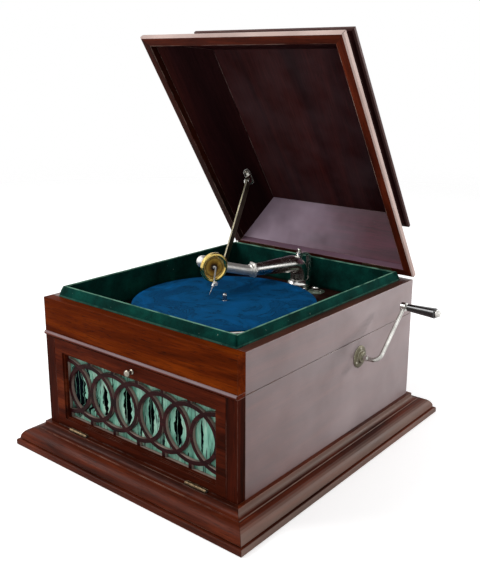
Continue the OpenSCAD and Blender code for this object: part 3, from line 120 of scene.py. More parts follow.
def new_finish(name, settings):
    """A Principled material: gives it, its tree, its surface and the object's coordinates."""
    material = bpy.data.materials.new(name)
    material.use_nodes = True
    tree = material.node_tree
    tree.nodes.clear()
    surface = add(tree, "ShaderNodeBsdfPrincipled", settings)
    add(tree, "ShaderNodeOutputMaterial", {}, {"Surface": surface})
    return material, tree, surface, add(tree, "ShaderNodeTexCoord").outputs["Object"]


def shaded(tree, color, pattern, low, high):
    """A colour that a pattern makes darker and lighter."""
    shade = add(tree, "ShaderNodeMapRange", {
        "From Min": 0.3, "From Max": 0.7, "To Min": low, "To Max": high}, {0: pattern})
    return add(tree, "ShaderNodeMix", {"data_type": "RGBA", "blend_type": "MULTIPLY", 0: 1.0},
               {6: color, 7: shade}).outputs[2]


def soft_edge(tree, radius):
    """Rounded normals at the edges, and a mask that is 1 on them."""
    rounded = add(tree, "ShaderNodeBevel", {"samples": 6, "Radius": radius})
    true = add(tree, "ShaderNodeNewGeometry").outputs["True Normal"]
    lean = add(tree, "ShaderNodeVectorMath", {"operation": "DOT_PRODUCT"}, {0: rounded, 1: true})
    edge = add(tree, "ShaderNodeMapRange", {"From Min": 0.99, "From Max": 0.86}, {0: lean.outputs["Value"]})
    return rounded, edge


# Wood

# The orders of axes that put the run of the grain first
GRAIN_RUNS = {"x": ["XYZ"], "y": ["YXZ"], "z": ["ZXY"], "mitred": ["XYZ", "YXZ"]}


def wood(name, light, mid, dark, grain, in_lid=False, bloom_and_sheen=None, bloom_and_sheen_share=0.0, swing=(0.72, 1.18),
         rough=(0.30, 0.46), shine=0.05, coat=0.0, worn="#8A5A3C", edge_wear_and_highlight_share=0.5, radius=1.6 * MM,
         figure=28 * MM, painted_sheen_fade=None, out_only=False, painted_sheen_way=None, rear_bloom_and_sheen=None, left_board_shade=None):
    """Polished wood with its grain along x, y or z, or round a mitred frame.

    "bloom_and_sheen" is the colour of a milky layer, partly old bloom and partly painted sheen and
    reflection, and "bloom_and_sheen_share" how much shows, times the two ends of "swing" in its thin and
    thick patches. "out_only" keeps it to the faces that look out to the left or right, and
    "painted_sheen_way" to those that look that way; both paint sheen on the faces that the light falls on.
    "painted_sheen_fade" gives the axis that the painted sheen fades along, where it is thin, where it is
    full, and how much is left where it is thin. "rear_bloom_and_sheen" is its colour on a frame's rear
    rail, and "left_board_shade" the painted shade of a frame's left board. "figure" is the distance of
    the growth bands, and "radius" the roundness of the edges.
    """
    material, tree, surface, place = new_finish(name, {
        "Coat Weight": coat, "Coat Roughness": 0.16, "Specular IOR Level": shine})
    if in_lid:
        back = Matrix.Rotation(LID_OPEN, 3, "X")
        place = add(tree, "ShaderNodeMapping", {
            "Location": LID_AXIS - back @ LID_AXIS, "Rotation": (LID_OPEN, 0, 0)}, {0: place})
    split = add(tree, "ShaderNodeSeparateXYZ", {}, {0: place}).outputs
    runs = [add(tree, "ShaderNodeCombineXYZ", {}, {i: split[axis] for i, axis in enumerate(order)})
            for order in GRAIN_RUNS[grain]]
    run = runs[0]
    if grain == "mitred":
        over = {}
        for i, (axis, half) in enumerate((("X", HALF_W), ("Y", HALF_D))):
            size = add(tree, "ShaderNodeMath", {"operation": "ABSOLUTE"}, {0: split[axis]})
            over[i] = add(tree, "ShaderNodeMath", {"operation": "SUBTRACT", 1: half}, {0: size})
        side = add(tree, "ShaderNodeMath", {"operation": "GREATER_THAN"}, over)
        run = add(tree, "ShaderNodeMix", {"data_type": "VECTOR"},
                  {0: side, 4: runs[0], 5: runs[1]}).outputs[1]

    def grained(size, stretch, detail, distortion=0.0):
        """A pattern drawn out along the grain."""
        drawn = add(tree, "ShaderNodeMapping", {"Scale": (stretch, 1, 1)}, {0: run})
        return add(tree, "ShaderNodeTexNoise", {
            "Scale": 1 / size, "Detail": detail, "Roughness": 0.6, "Distortion": distortion},
            {0: drawn})

    # Growth bands some 28 mm apart, fibres 2.5 mm apart, and pores drawn 1.3 mm apart so that they show
    bands = grained(figure, 0.09, 5.0, 0.7)
    fibres = grained(2.5 * MM, 0.035, 3.0)
    pores = grained(1.3 * MM, 0.07, 1.0)
    color = add(tree, "ShaderNodeValToRGB", {"stops": [(0.34, dark), (0.50, mid), (0.66, light)]},
                {0: bands})
    color = shaded(tree, color, fibres, 0.72, 1.18)
    pore = add(tree, "ShaderNodeMapRange", {"From Min": 0.60, "From Max": 0.70}, {0: pores})
    pore_share = add(tree, "ShaderNodeMath", {"operation": "MULTIPLY", 1: 0.55}, {0: pore})
    color = add(tree, "ShaderNodeMix", {"data_type": "RGBA", 7: paint("#1A0B07")},
                {0: pore_share, 6: color}).outputs[2]
    # Painted shade: a frame's left board is darkened, as it looks away from the light
    if left_board_shade:
        left = add(tree, "ShaderNodeMath", {"operation": "LESS_THAN", 1: 0.0}, {0: split["X"]})
        left = add(tree, "ShaderNodeMath", {"operation": "MULTIPLY"}, {0: left, 1: side})
        left = add(tree, "ShaderNodeMath", {"operation": "MULTIPLY", 1: 0.7}, {0: left})
        color = add(tree, "ShaderNodeMix", {"data_type": "RGBA", 7: paint(left_board_shade)},
                    {0: left, 6: color}).outputs[2]
    # Patches about 110 mm across, which the bloom and the gloss share
    broad = add(tree, "ShaderNodeTexNoise", {"Scale": 9.0, "Detail": 3.0, "Roughness": 0.55}, {0: place})
    if bloom_and_sheen:
        # Old shellac blooms to a milky layer, thicker in some patches; the same layer is also painted sheen
        # and reflection on the faces that the light falls on
        bloom_and_sheen_film = add(tree, "ShaderNodeMapRange", {
            "From Min": 0.3, "From Max": 0.7,
            "To Min": bloom_and_sheen_share * swing[0], "To Max": bloom_and_sheen_share * swing[1]},
            {0: broad})
        # Painted sheen: the layer fades along an axis, from full light to where the light falls off
        if painted_sheen_fade:
            axis, thin_at, full_at, left = painted_sheen_fade
            fade = add(tree, "ShaderNodeMapRange", {
                "interpolation_type": "SMOOTHSTEP",
                "From Min": thin_at, "From Max": full_at, "To Min": left},
                {0: split[axis]})
            bloom_and_sheen_film = add(tree, "ShaderNodeMath", {"operation": "MULTIPLY"}, {0: bloom_and_sheen_film, 1: fade})
        # Painted sheen: the layer is kept to faces that look out to the sides or towards the light
        if painted_sheen_way or out_only:
            facing = add(tree, "ShaderNodeTexCoord").outputs["Normal"]
            ways = []
            if painted_sheen_way:
                sheen_facing = add(tree, "ShaderNodeVectorMath", {"operation": "DOT_PRODUCT", 1: painted_sheen_way},
                          {0: facing})
                ways.append(sheen_facing.outputs["Value"])
            if out_only:
                hand = add(tree, "ShaderNodeMath", {"operation": "SIGN"}, {0: split["X"]})
                out = add(tree, "ShaderNodeSeparateXYZ", {}, {0: facing}).outputs["X"]
                out = add(tree, "ShaderNodeMath", {"operation": "MULTIPLY"}, {0: out, 1: hand})
                ways.append(out)
            on_it = add(tree, "ShaderNodeMath", {"operation": "MAXIMUM"}, {0: ways[0], 1: ways[-1]})
            on_it = add(tree, "ShaderNodeMapRange", {"From Min": 0.25, "From Max": 0.7}, {0: on_it})
            bloom_and_sheen_film = add(tree, "ShaderNodeMath", {"operation": "MULTIPLY"}, {0: bloom_and_sheen_film, 1: on_it})
        # The pale layer over the wood, partly bloom and partly painted sheen
        bloomed = add(tree, "ShaderNodeMix", {"data_type": "RGBA", 7: paint(bloom_and_sheen)}, {0: bloom_and_sheen_film, 6: color})
        color = bloomed.outputs[2]
        # On a frame's rear rail the painted sheen takes a darker colour
        if rear_bloom_and_sheen:
            rear = add(tree, "ShaderNodeMath", {"operation": "GREATER_THAN", 1: REAR_RAIL_Y},
                       {0: split["Y"]})
            not_side = add(tree, "ShaderNodeMath", {"operation": "LESS_THAN", 1: 0.3}, {0: out})
            rear = add(tree, "ShaderNodeMath", {"operation": "MULTIPLY"}, {0: rear, 1: not_side})
            veil = add(tree, "ShaderNodeMix", {"data_type": "RGBA", 6: paint(bloom_and_sheen), 7: paint(rear_bloom_and_sheen)},
                       {0: rear}).outputs[2]
            connect(tree, bloomed, {7: veil})
    # Pale rounded edges: rubbed wear, and on some finishes a painted highlight
    rounded, edge = soft_edge(tree, radius)
    rub = add(tree, "ShaderNodeTexNoise", {"Scale": 1 / (45 * MM), "Detail": 6.0, "Roughness": 0.65},
              {0: place})
    rub = add(tree, "ShaderNodeMapRange", {"From Min": 0.42, "From Max": 0.62, "To Max": edge_wear_and_highlight_share},
              {0: rub})
    rub = add(tree, "ShaderNodeMath", {"operation": "MULTIPLY"}, {0: rub, 1: edge})
    color = add(tree, "ShaderNodeMix", {"data_type": "RGBA", 7: paint(worn)}, {0: rub, 6: color}).outputs[2]
    if grain == "mitred":
        # The glue line of a mitre is about 0.3 mm wide
        seam = add(tree, "ShaderNodeMath", {"operation": "SUBTRACT"}, over)
        seam = add(tree, "ShaderNodeMath", {"operation": "ABSOLUTE"}, {0: seam})
        seam = add(tree, "ShaderNodeMapRange", {"From Min": 0.45 * MM, "From Max": 0.2 * MM, "To Max": 0.7},
                   {0: seam})
        color = add(tree, "ShaderNodeMix", {"data_type": "RGBA", 7: paint("#140806")},
                    {0: seam, 6: color}).outputs[2]
    gloss = add(tree, "ShaderNodeMapRange", {
        "From Min": 0.35, "From Max": 0.65, "To Min": rough[0], "To Max": rough[1]}, {0: broad})
    bump = add(tree, "ShaderNodeBump", {"invert": True, "Strength": 0.25, "Distance": 0.25 * MM},
               {"Height": pore, "Normal": rounded})
    connect(tree, surface, {
        "Base Color": color, "Roughness": gloss, "Normal": bump, "Coat Normal": rounded})
    return material


# Mahogany under french polish: warm red-brown with fine dark pores and a soft shine
DOOR = ("#6A2C14", "#4C1A0B", "#2C0D05")
SIDE = ("#5E3226", "#4A231A", "#331611")
LID = ("#421C18", "#2C1213", "#1F0C0E")
# The way that the outer edges of the open lid's front rail look
LID_FRONT_WAY = (0, -0.536, 0.844)
band_x = wood("french polished mahogany, bright grain", "#7A3206", "#581E04", "#340F02", "x", shine=0.008,
              worn="#7A4630", figure=46 * MM)
# Its edges are pale
door_x = wood("dark polished mahogany, pale edges", *DOOR, "x", shine=0.015, worn="#A88A7A",
              edge_wear_and_highlight_share=0.4, radius=0.6 * MM)
rail_x = wood("dark polished mahogany, grain across", *DOOR, "x", shine=0.02, worn="#A89088",
              edge_wear_and_highlight_share=0.4)
# Painted sheen: a pale layer on the bead's faces that look up
bead_x = wood("dark polished mahogany bead, painted sheen above", *DOOR, "x", shine=0.02, bloom_and_sheen="#A8989C",
              bloom_and_sheen_share=0.55, painted_sheen_way=(0, -0.3, 0.95), worn="#A89088", edge_wear_and_highlight_share=0.6)
post_z = wood("dark polished mahogany, grain upright", "#48180B", "#341007", "#200A05", "z", shine=0.015,
              worn="#9A7668")
# Its pale layer is partly bloom and partly painted sheen, kept to the faces that look out to the sides
foot = wood("french polished mahogany, mitred", "#662A14", "#4E1E0E", "#301108", "mitred", shine=0.06,
            bloom_and_sheen="#8E7A70", bloom_and_sheen_share=0.5, worn="#A07E6C", out_only=True)
# Bloomed mahogany: a milky layer over the wood makes it a pale grey-brown; the layer is partly bloom
# and partly painted sheen, kept to the faces that look out and fading towards the front
side_y = wood("bloomed mahogany with painted sheen, grain front to back", *SIDE, "y", bloom_and_sheen="#AC9C9D", bloom_and_sheen_share=0.72,
              rough=(0.30, 0.42), shine=0.35, coat=0.15, painted_sheen_fade=("Y", -0.24, 0.16, 0.5), out_only=True)
back_x = wood("bloomed mahogany, grain across", *SIDE, "x", bloom_and_sheen="#8E7A7C", bloom_and_sheen_share=0.35)
# The lid's mahogany is darker. The rim's pale layer and pale rounded edges are painted highlight on the
# faces that look out or towards the light, with painted shade on its left board
lid_edge = wood("lid rim mahogany, mitred", "#6A2A16", "#4C1B0D", "#300F08", "mitred", in_lid=True,
                shine=0.03, bloom_and_sheen="#D4BCB4", bloom_and_sheen_share=0.86, worn="#C8A898", edge_wear_and_highlight_share=0.6,
                radius=2.4 * MM, out_only=True, painted_sheen_way=LID_FRONT_WAY, rear_bloom_and_sheen="#7A6070",
                left_board_shade="#1C0D09")
lid_across = wood("dark lid mahogany, grain across", *LID, "x", in_lid=True, figure=60 * MM, shine=0.02)
# Its faint pale clouds are painted reflection patches
lid_ceiling = wood("dark lid mahogany, clouded", "#421A18", "#2E1213", "#1E0B0D", "y", in_lid=True,
                   figure=90 * MM, shine=0.02, bloom_and_sheen="#6E5E64", bloom_and_sheen_share=0.09, swing=(-0.4, 1.7))
lid_along = wood("dark lid mahogany, grain front to back", *LID, "y", in_lid=True, figure=60 * MM,
                 shine=0.02, worn="#B09890", edge_wear_and_highlight_share=0.9)
# Painted reflection: a pale mauve layer on the rear slope, full at the left and fading to the right, on the
# faces that look towards the light
lid_rear = wood("lid mahogany with painted reflection, grain across", "#581E2E", "#461622", "#320F17", "x", in_lid=True,
                bloom_and_sheen="#C0AABC", bloom_and_sheen_share=0.76, swing=(0.35, 1.3), shine=0.12, worn="#B09890",
                painted_sheen_fade=("X", 0.13, -0.14, 0.12), painted_sheen_way=(0, -0.948, 0.319))
# Painted sheen: a pale layer on the moulding's faces that look out or towards the light
lid_moulding = wood("lid moulding mahogany, mitred", "#3E1C18", "#2E1414", "#1C0C0E", "mitred", in_lid=True,
                    shine=0.05, bloom_and_sheen="#6A4C48", bloom_and_sheen_share=0.4, worn="#A88478", edge_wear_and_highlight_share=0.5,
                    out_only=True, painted_sheen_way=LID_FRONT_WAY)
# Stained board with a worn satin surface
deck = wood("stained deck board", "#2E1813", "#22100D", "#160A08", "x", rough=(0.42, 0.6), coat=0.1)
# Dark maroon stain on rounded, handled strands, with a painted pale highlight on the sides that look to the
# right and up
fret = wood("maroon stained fretwork", "#3C1618", "#2A0E10", "#1A090B", "x", rough=(0.2, 0.34), shine=0.05,
            bloom_and_sheen="#B8A498", bloom_and_sheen_share=0.62, worn="#8A6A60", edge_wear_and_highlight_share=0.3, radius=1.4 * MM,
            figure=12 * MM, painted_sheen_way=(0.8, 0, 0.6))
# Deal painted blue-black and dull as painted shade: it keeps the inside of the horn dark behind the cloth
horn_shade_finish = wood("deal painted blue-black as the horn's shade", "#182238", "#101828", "#080C16", "y", rough=(0.6, 0.8), shine=0.05,
                  worn="#1C2430")


# Metal

def metal(name, bright, dull, rough, dull_share=0.6, patch=18 * MM, radius=0.8 * MM, scratch=0.12,
          metallic=1.0, rubbed=None):
    """Metal that is bright in places and dulled in others, with fine rubbing marks."""
    material, tree, surface, place = new_finish(name, {"Metallic": metallic})
    age = add(tree, "ShaderNodeTexNoise", {"Scale": 1 / patch, "Detail": 7.0, "Roughness": 0.68},
              {0: place})
    age = add(tree, "ShaderNodeMapRange", {"From Min": 0.38, "From Max": 0.66}, {0: age})
    share = add(tree, "ShaderNodeMath", {"operation": "MULTIPLY", 1: dull_share}, {0: age})
    color = add(tree, "ShaderNodeMix", {"data_type": "RGBA", 6: paint(bright), 7: paint(dull)},
                {0: share}).outputs[2]
    gloss = add(tree, "ShaderNodeMapRange", {"To Min": rough[0], "To Max": rough[1]}, {0: age})
    rounded, edge = soft_edge(tree, radius)
    rub = add(tree, "ShaderNodeMath", {"operation": "MULTIPLY", 1: 0.9 if rubbed else 0.4}, {0: edge})
    color = add(tree, "ShaderNodeMix", {"data_type": "RGBA", 7: paint(rubbed or bright)},
                {0: rub, 6: color}).outputs[2]
    # Rubbing marks are hair thin, drawn 0.5 mm apart so that they show
    drawn = add(tree, "ShaderNodeMapping", {"Rotation": (0.5, 0.9, 0.3), "Scale": (0.05, 1, 1)}, {0: place})
    marks = add(tree, "ShaderNodeTexNoise", {"Scale": 1 / (0.5 * MM), "Detail": 2.0}, {0: drawn})
    bump = add(tree, "ShaderNodeBump", {"Strength": scratch, "Distance": 0.05 * MM},
               {"Height": marks, "Normal": rounded})
    connect(tree, surface, {"Base Color": color, "Roughness": gloss, "Normal": bump})
    return material


# Nickel plate, polished: bright with soft grey clouds
nickel = metal("aged nickel plate", "#DDDBD6", "#8E8B84", (0.10, 0.30))
# Nickel of the tone arm, handled dull: it mirrors its surroundings softly and keeps grey streaks
arm_nickel = metal("handled nickel plate", "#E6E4E0", "#A9A6A0", (0.16, 0.3), dull_share=0.35,
                   patch=40 * MM, scratch=0.05)
# The gooseneck is rubbed to a paler satin than the arm
satin_nickel = metal("rubbed satin nickel", "#F2F0EC", "#C4C0B6", (0.34, 0.5), patch=14 * MM, scratch=0.1,
                     metallic=0.75)
# Nickel on the stay and the crank's plate has gone dull and olive, with pale edges
stay_nickel = metal("dulled nickel bar", "#76705C", "#38342A", (0.34, 0.5), patch=40 * MM, radius=0.9 * MM,
                    rubbed="#DCD8C8")
# Nickel on the knob is rubbed through to grey
rubbed_nickel = metal("rubbed nickel", "#B6B0A2", "#5C564A", (0.22, 0.42), patch=5 * MM, dull_share=0.8)
screw_nickel = metal("nickelled screw head", "#C8C2B2", "#7C7464", (0.2, 0.4), patch=3 * MM,
                     radius=0.25 * MM)
# Ground steel: grey with fine marks
steel = metal("ground steel", "#A9ABAE", "#6E6C68", (0.22, 0.42), patch=9 * MM)
# Blackened cast iron: dark and grainy
iron = metal("blackened cast iron", "#3C3D3E", "#232424", (0.5, 0.7), patch=6 * MM, scratch=0.6,
             metallic=0.6)
# Brass of the motor's crown wheel and governor, browned by age
brass = metal("aged brass", "#B4A078", "#6A5A40", (0.3, 0.5), patch=7 * MM)
# Hinge brass gone brown, dull beside the polished wood
hinge_brass = metal("browned hinge brass", "#7A6850", "#3A2E22", (0.4, 0.6), patch=5 * MM, dull_share=0.8)
# Gilt lacquer on the sound box: deep gold with browner hollows
gilt = metal("gilt lacquered brass", "#F4DA84", "#B48A34", (0.16, 0.32), patch=12 * MM, dull_share=0.6)


# Other hard finishes

def plain(name, light, dark, grit, rough, settings, bump_share=0.1):
    """A coloured finish that varies between two shades over a grit size, with soft edges."""
    material, tree, surface, place = new_finish(name, settings)
    speck = add(tree, "ShaderNodeTexNoise", {"Scale": 1 / grit, "Detail": 5.0, "Roughness": 0.6},
                {0: place})
    color = add(tree, "ShaderNodeValToRGB", {"stops": [(0.35, dark), (0.65, light)]}, {0: speck})
    gloss = add(tree, "ShaderNodeMapRange", {"To Min": rough[0], "To Max": rough[1]}, {0: speck})
    rounded, edge = soft_edge(tree, 0.5 * MM)
    bump = add(tree, "ShaderNodeBump", {"Strength": bump_share, "Distance": 0.1 * MM},
               {"Height": speck, "Normal": rounded})
    connect(tree, surface, {"Base Color": color, "Roughness": gloss, "Normal": bump})
    return material


# Ebonised and polished grip: near black with a hard shine
ebony = plain("ebonised wood", "#161414", "#080808", 4 * MM, (0.10, 0.24),
              {"Coat Weight": 0.8, "Coat Roughness": 0.08})
# Tanned leather, dull and coarse where it brakes
leather = plain("brake leather", "#6E4A34", "#4A2E20", 1.2 * MM, (0.6, 0.8), {}, bump_share=0.5)
# Baked enamel of the dial: pale grey-green and smooth
dial_enamel = plain("baked dial enamel", "#93A38F", "#7C8E7C", 6 * MM, (0.25, 0.4), {"Coat Weight": 0.4})
# Wax ink in the dial's marks: dull black
ink = plain("black filling of the dial marks", "#1C1C1C", "#101010", 1 * MM, (0.4, 0.6), {})


def mica_finish():
    """Split mica: a clear brown sheet that shows the gilt cup as rings round the dark sound hole."""
    material, tree, surface, place = new_finish("split mica", {
        "Coat Weight": 0.5, "Coat Roughness": 0.1, "Metallic": 0.35})
    low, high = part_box("diaphragm")
    place = add(tree, "ShaderNodeMapping", {"Location": -(low + high) / 2}, {0: place})
    out = add(tree, "ShaderNodeVectorMath", {"operation": "LENGTH"}, {0: place}).outputs["Value"]
    cloud = add(tree, "ShaderNodeTexNoise", {"Scale": 1 / (9 * MM), "Detail": 4.0, "Distortion": 0.8},
                {0: place})
    # The rings waver by 3 mm where the sheet is bruised
    waver = add(tree, "ShaderNodeMapRange", {"To Min": -3 * MM, "To Max": 3 * MM}, {0: cloud})
    out = add(tree, "ShaderNodeMath", {"operation": "ADD"}, {0: out, 1: waver})
    share = add(tree, "ShaderNodeMapRange", {"From Max": 21 * MM}, {0: out})
    color = add(tree, "ShaderNodeValToRGB", {"stops": [
        (0.16, "#120A05"), (0.30, "#684412"), (0.46, "#B4842A"), (0.62, "#DAAE48"), (0.76, "#8A6420"),
        (0.86, "#E6CC7C"), (0.97, "#F2E4AC")]}, {0: share})
    gloss = add(tree, "ShaderNodeMapRange", {"To Min": 0.16, "To Max": 0.36}, {0: cloud})
    bump = add(tree, "ShaderNodeBump", {"Strength": 0.2, "Distance": 0.1 * MM}, {"Height": cloud})
    connect(tree, surface, {"Base Color": color, "Roughness": gloss, "Normal": bump})
    return material


mica = mica_finish()


FINISHES = {
    band_x: ["front_band"],
    door_x: ["door_frame"],
    rail_x: ["front_sill"],
    bead_x: ["front_bead"],
    post_z: ["front_posts"],
    foot: ["base_board", "plinth_moulding"],
    side_y: ["left_panel", "right_panel"],
    back_x: ["back_panel"],
    lid_edge: ["lid_rim"],
    lid_across: ["lid_front_slope"],
    lid_ceiling: ["lid_top"],
    lid_rear: ["lid_rear_slope"],
    lid_along: ["lid_side_slopes"],
    lid_moulding: ["lid_cornice"],
    deck: ["motor_board"],
    horn_shade_finish: ["tone_chamber"],
    fret: ["fretwork"],
    iron: ["throat_elbow", "motor_frame", "spring_barrel"],
    nickel: ["stay_guide", "pivot_screw", "stay_bracket", "turntable_platter", "crank_arm", "grip_pin",
             "speed_knob", "brake_lever"],
    arm_nickel: ["tonearm_base", "tonearm_tube"],
    satin_nickel: ["gooseneck", "stylus_bar"],
    stay_nickel: ["lid_stay", "crank_escutcheon"],
    steel: ["hinge_pins", "spindle", "winding_shaft", "barrel_arbor", "mainspring", "needle",
            "regulator_rod"],
    brass: ["intermediate_gear", "governor"],
    hinge_brass: ["fixed_hinge_leaves", "lid_hinge_leaves", "door_hinge_leaves"],
    rubbed_nickel: ["door_knob"],
    gilt: ["soundbox_shell", "soundbox_bezel"],
    mica: ["diaphragm"],
    ebony: ["crank_grip"],
    leather: ["brake_pad"],
    dial_enamel: ["speed_plate"],
}
for material, names in FINISHES.items():
    for name in names:
        slots = nodes[name].data.materials
        slots.clear()
        slots.append(material)


# Meshes

def put(name, data):
    """A new object in the scene, at the origin."""
    made = bpy.data.objects.new(name, data)
    bpy.context.scene.collection.objects.link(made)
    return made


def new_piece(name, mesh, material, body, smooth=True):
    """An object for a finished mesh, with a material if it has none yet, riding on a body."""
    piece = put(name, mesh)
    if material:
        mesh.materials.append(material)
    if smooth:
        mesh.polygons.foreach_set("use_smooth", [True] * len(mesh.polygons))
    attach(piece, body)
    return piece


def loft(name, rings, worn=None, wrap=False):
    """A closed mesh through rings of points, its ends capped, or joined where it wraps round.

    "worn" says for each point how much of its pile is rubbed off.
    """
    count = len(rings[0])
    mesh = bpy.data.meshes.new(name)
    faces = []
    for i in range(len(rings) if wrap else len(rings) - 1):
        a, b = i * count, (i + 1) % len(rings) * count
        faces += [(a + j, a + (j + 1) % count, b + (j + 1) % count, b + j) for j in range(count)]
    if not wrap:
        last = (len(rings) - 1) * count
        faces += [tuple(reversed(range(count))), tuple(last + j for j in range(count))]
    mesh.from_pydata([tuple(p) for ring in rings for p in ring], [], faces)
    if worn:
        mesh.attributes.new("worn", "FLOAT", "POINT").data.foreach_set("value", worn)
    work = bmesh.new()
    work.from_mesh(mesh)
    bmesh.ops.recalc_face_normals(work, faces=work.faces)
    work.to_mesh(mesh)
    work.free()
    return mesh


def wobble(x, y, z, size):
    """Smooth unevenness between -1 and 1, in waves about as long as size."""
    return noise.noise(Vector((x, y, z)) / size)


# Plush lining

def plush_finish():
    """Cotton plush: a short pile with crushed patches, pale where its ridges are rubbed."""
    material, tree, surface, place = new_finish("emerald cotton plush", {
        "Sheen Weight": 0.12, "Sheen Roughness": 0.45, "Sheen Tint": paint("#5FB89C"),
        "Specular IOR Level": 0.05, "Roughness": 0.9})
    worn = add(tree, "ShaderNodeAttribute", {"attribute_name": "worn"}).outputs["Fac"]
    # Pile of about 0.4 mm, drawn 1.1 mm apart so that it shows, and patches that a hand has crushed
    pile = add(tree, "ShaderNodeTexNoise", {"Scale": 1 / (1.1 * MM), "Detail": 3.0}, {0: place})
    patch = add(tree, "ShaderNodeTexNoise", {"Scale": 1 / (38 * MM), "Detail": 6.0, "Roughness": 0.62},
                {0: place})
    color = add(tree, "ShaderNodeValToRGB", {"stops": [
        (0.32, "#021C18"), (0.5, "#03302A"), (0.7, "#08443A")]}, {0: patch})
    color = shaded(tree, color, pile, 0.7, 1.25)
    # Along the ridges the pile is rubbed through to pale backing, in broken lines
    thread = add(tree, "ShaderNodeTexNoise", {"Scale": 1 / (22 * MM), "Detail": 5.0, "Roughness": 0.6},
                 {0: place})
    rub = add(tree, "ShaderNodeMapRange", {
        "From Min": 0.36, "From Max": 0.56, "To Min": 0.15, "To Max": 0.85}, {0: thread})
    ridge = add(tree, "ShaderNodeMapRange", {"From Min": 0.75, "From Max": 1.0}, {0: worn})
    rub = add(tree, "ShaderNodeMath", {"operation": "MULTIPLY"}, {0: rub, 1: ridge})
    color = add(tree, "ShaderNodeMix", {"data_type": "RGBA", 7: paint("#6E9A84")},
                {0: rub, 6: color}).outputs[2]
    # Lint caught in the pile, in specks some millimetres apart
    lint = add(tree, "ShaderNodeTexNoise", {"Scale": 1 / (5 * MM), "Detail": 2.0}, {0: place})
    lint = add(tree, "ShaderNodeMapRange", {"From Min": 0.74, "From Max": 0.78, "To Max": 0.7}, {0: lint})
    color = add(tree, "ShaderNodeMix", {"data_type": "RGBA", 7: paint("#8FA898")},
                {0: lint, 6: color}).outputs[2]
    bump = add(tree, "ShaderNodeBump", {"Strength": 0.5, "Distance": 0.35 * MM}, {"Height": pile})
    connect(tree, surface, {"Base Color": color, "Normal": bump})
    return material


def lip_outline(depth):
    """Outline of a lining board from its foot inside round to the wall: depth, height, how worn."""
    r = 2.4 * MM
    top_w = 3 * MM
    points = [(depth, DECK_Z + (LIP_Z - r - DECK_Z) * i / 9, 0.0) for i in range(10)]
    # The rounded inner edge of the top
    for i in range(1, 5):
        a = math.radians(90 * i / 4)
        points.append((depth - r * (1 - math.cos(a)), LIP_Z - r * (1 - math.sin(a)), 1.0))
    # The padded slope from the top down to the rim
    start = (depth - top_w - 0.4 * MM, LIP_Z - 0.5 * MM)
    end = (0.7 * MM, RIM_Z + 0.3 * MM)
    for i in range(9):
        t = i / 8
        bulge = 0.5 * MM * math.sin(math.pi * t)
        rubbed = 1.0 if i == 0 else 0.25 if i < 7 else 0.8
        points.append((start[0] + (end[0] - start[0]) * t - bulge,
                       start[1] + (end[1] - start[1]) * t + bulge * 0.4, rubbed))
    points += [(0.2 * MM, RIM_Z, 0.5), (0.2 * MM, DECK_Z, 0.0)]
    return points


def lining_corner(side_x, side_y):
    """The outer and the inner end of a mitre, in the corner of the well on these sides."""
    thick = BACK_LINING if side_y > 0 else FRONT_LINING
    return (Vector((side_x * WALL_X, side_y * WALL_Y, 0.0)),
            Vector((side_x * (WALL_X - SIDE_LINING), side_y * (WALL_Y - thick), 0.0)))


def lining_board(first, last, depth, seed):
    """Rings of one board between the mitres of its first and its last corner."""
    a, inner_a = lining_corner(*first)
    b, inner_b = lining_corner(*last)
    count = max(2, round((b - a).length / (6 * MM)))
    outline = lip_outline(depth)
    rings, worn = [], []
    for i in range(count + 1):
        # The ends stand a hair apart at the mitres
        t = min(max(i / count, 0.0006), 1 - 0.0006)
        outer = a.lerp(b, t)
        inner = inner_a.lerp(inner_b, t)
        ring = []
        for u, z, rubbed in outline:
            p = outer.lerp(inner, u / depth)
            ripple = wobble(p.x + seed, p.y, z, 16 * MM) * 0.35 * MM
            if z > DECK_Z + 1 * MM and u > 0.3 * MM:
                p += (outer - inner).normalized() * ripple
                z += ripple * 0.4
            ring.append(Vector((p.x, p.y, z)))
            worn.append(rubbed)
        rings.append(ring)
    return rings, worn


plush = plush_finish()
# Each board: the corners that it runs from and to, its thickness and the node that it stands for
BOARDS = {
    "front_plush": ((-1, -1), (1, -1), FRONT_LINING, "front_lining"),
    "back_plush": ((1, 1), (-1, 1), BACK_LINING, "back_lining"),
    "left_plush": ((-1, 1), (-1, -1), SIDE_LINING, "side_linings"),
    "right_plush": ((1, -1), (1, 1), SIDE_LINING, "side_linings"),
}
for seed, (name, (first, last, depth, node)) in enumerate(BOARDS.items()):
    rings, worn = lining_board(first, last, depth, seed)
    piece = new_piece(name, loft(name, rings, worn), plush, "cabinet")
    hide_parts(node)


# Felt of the turntable

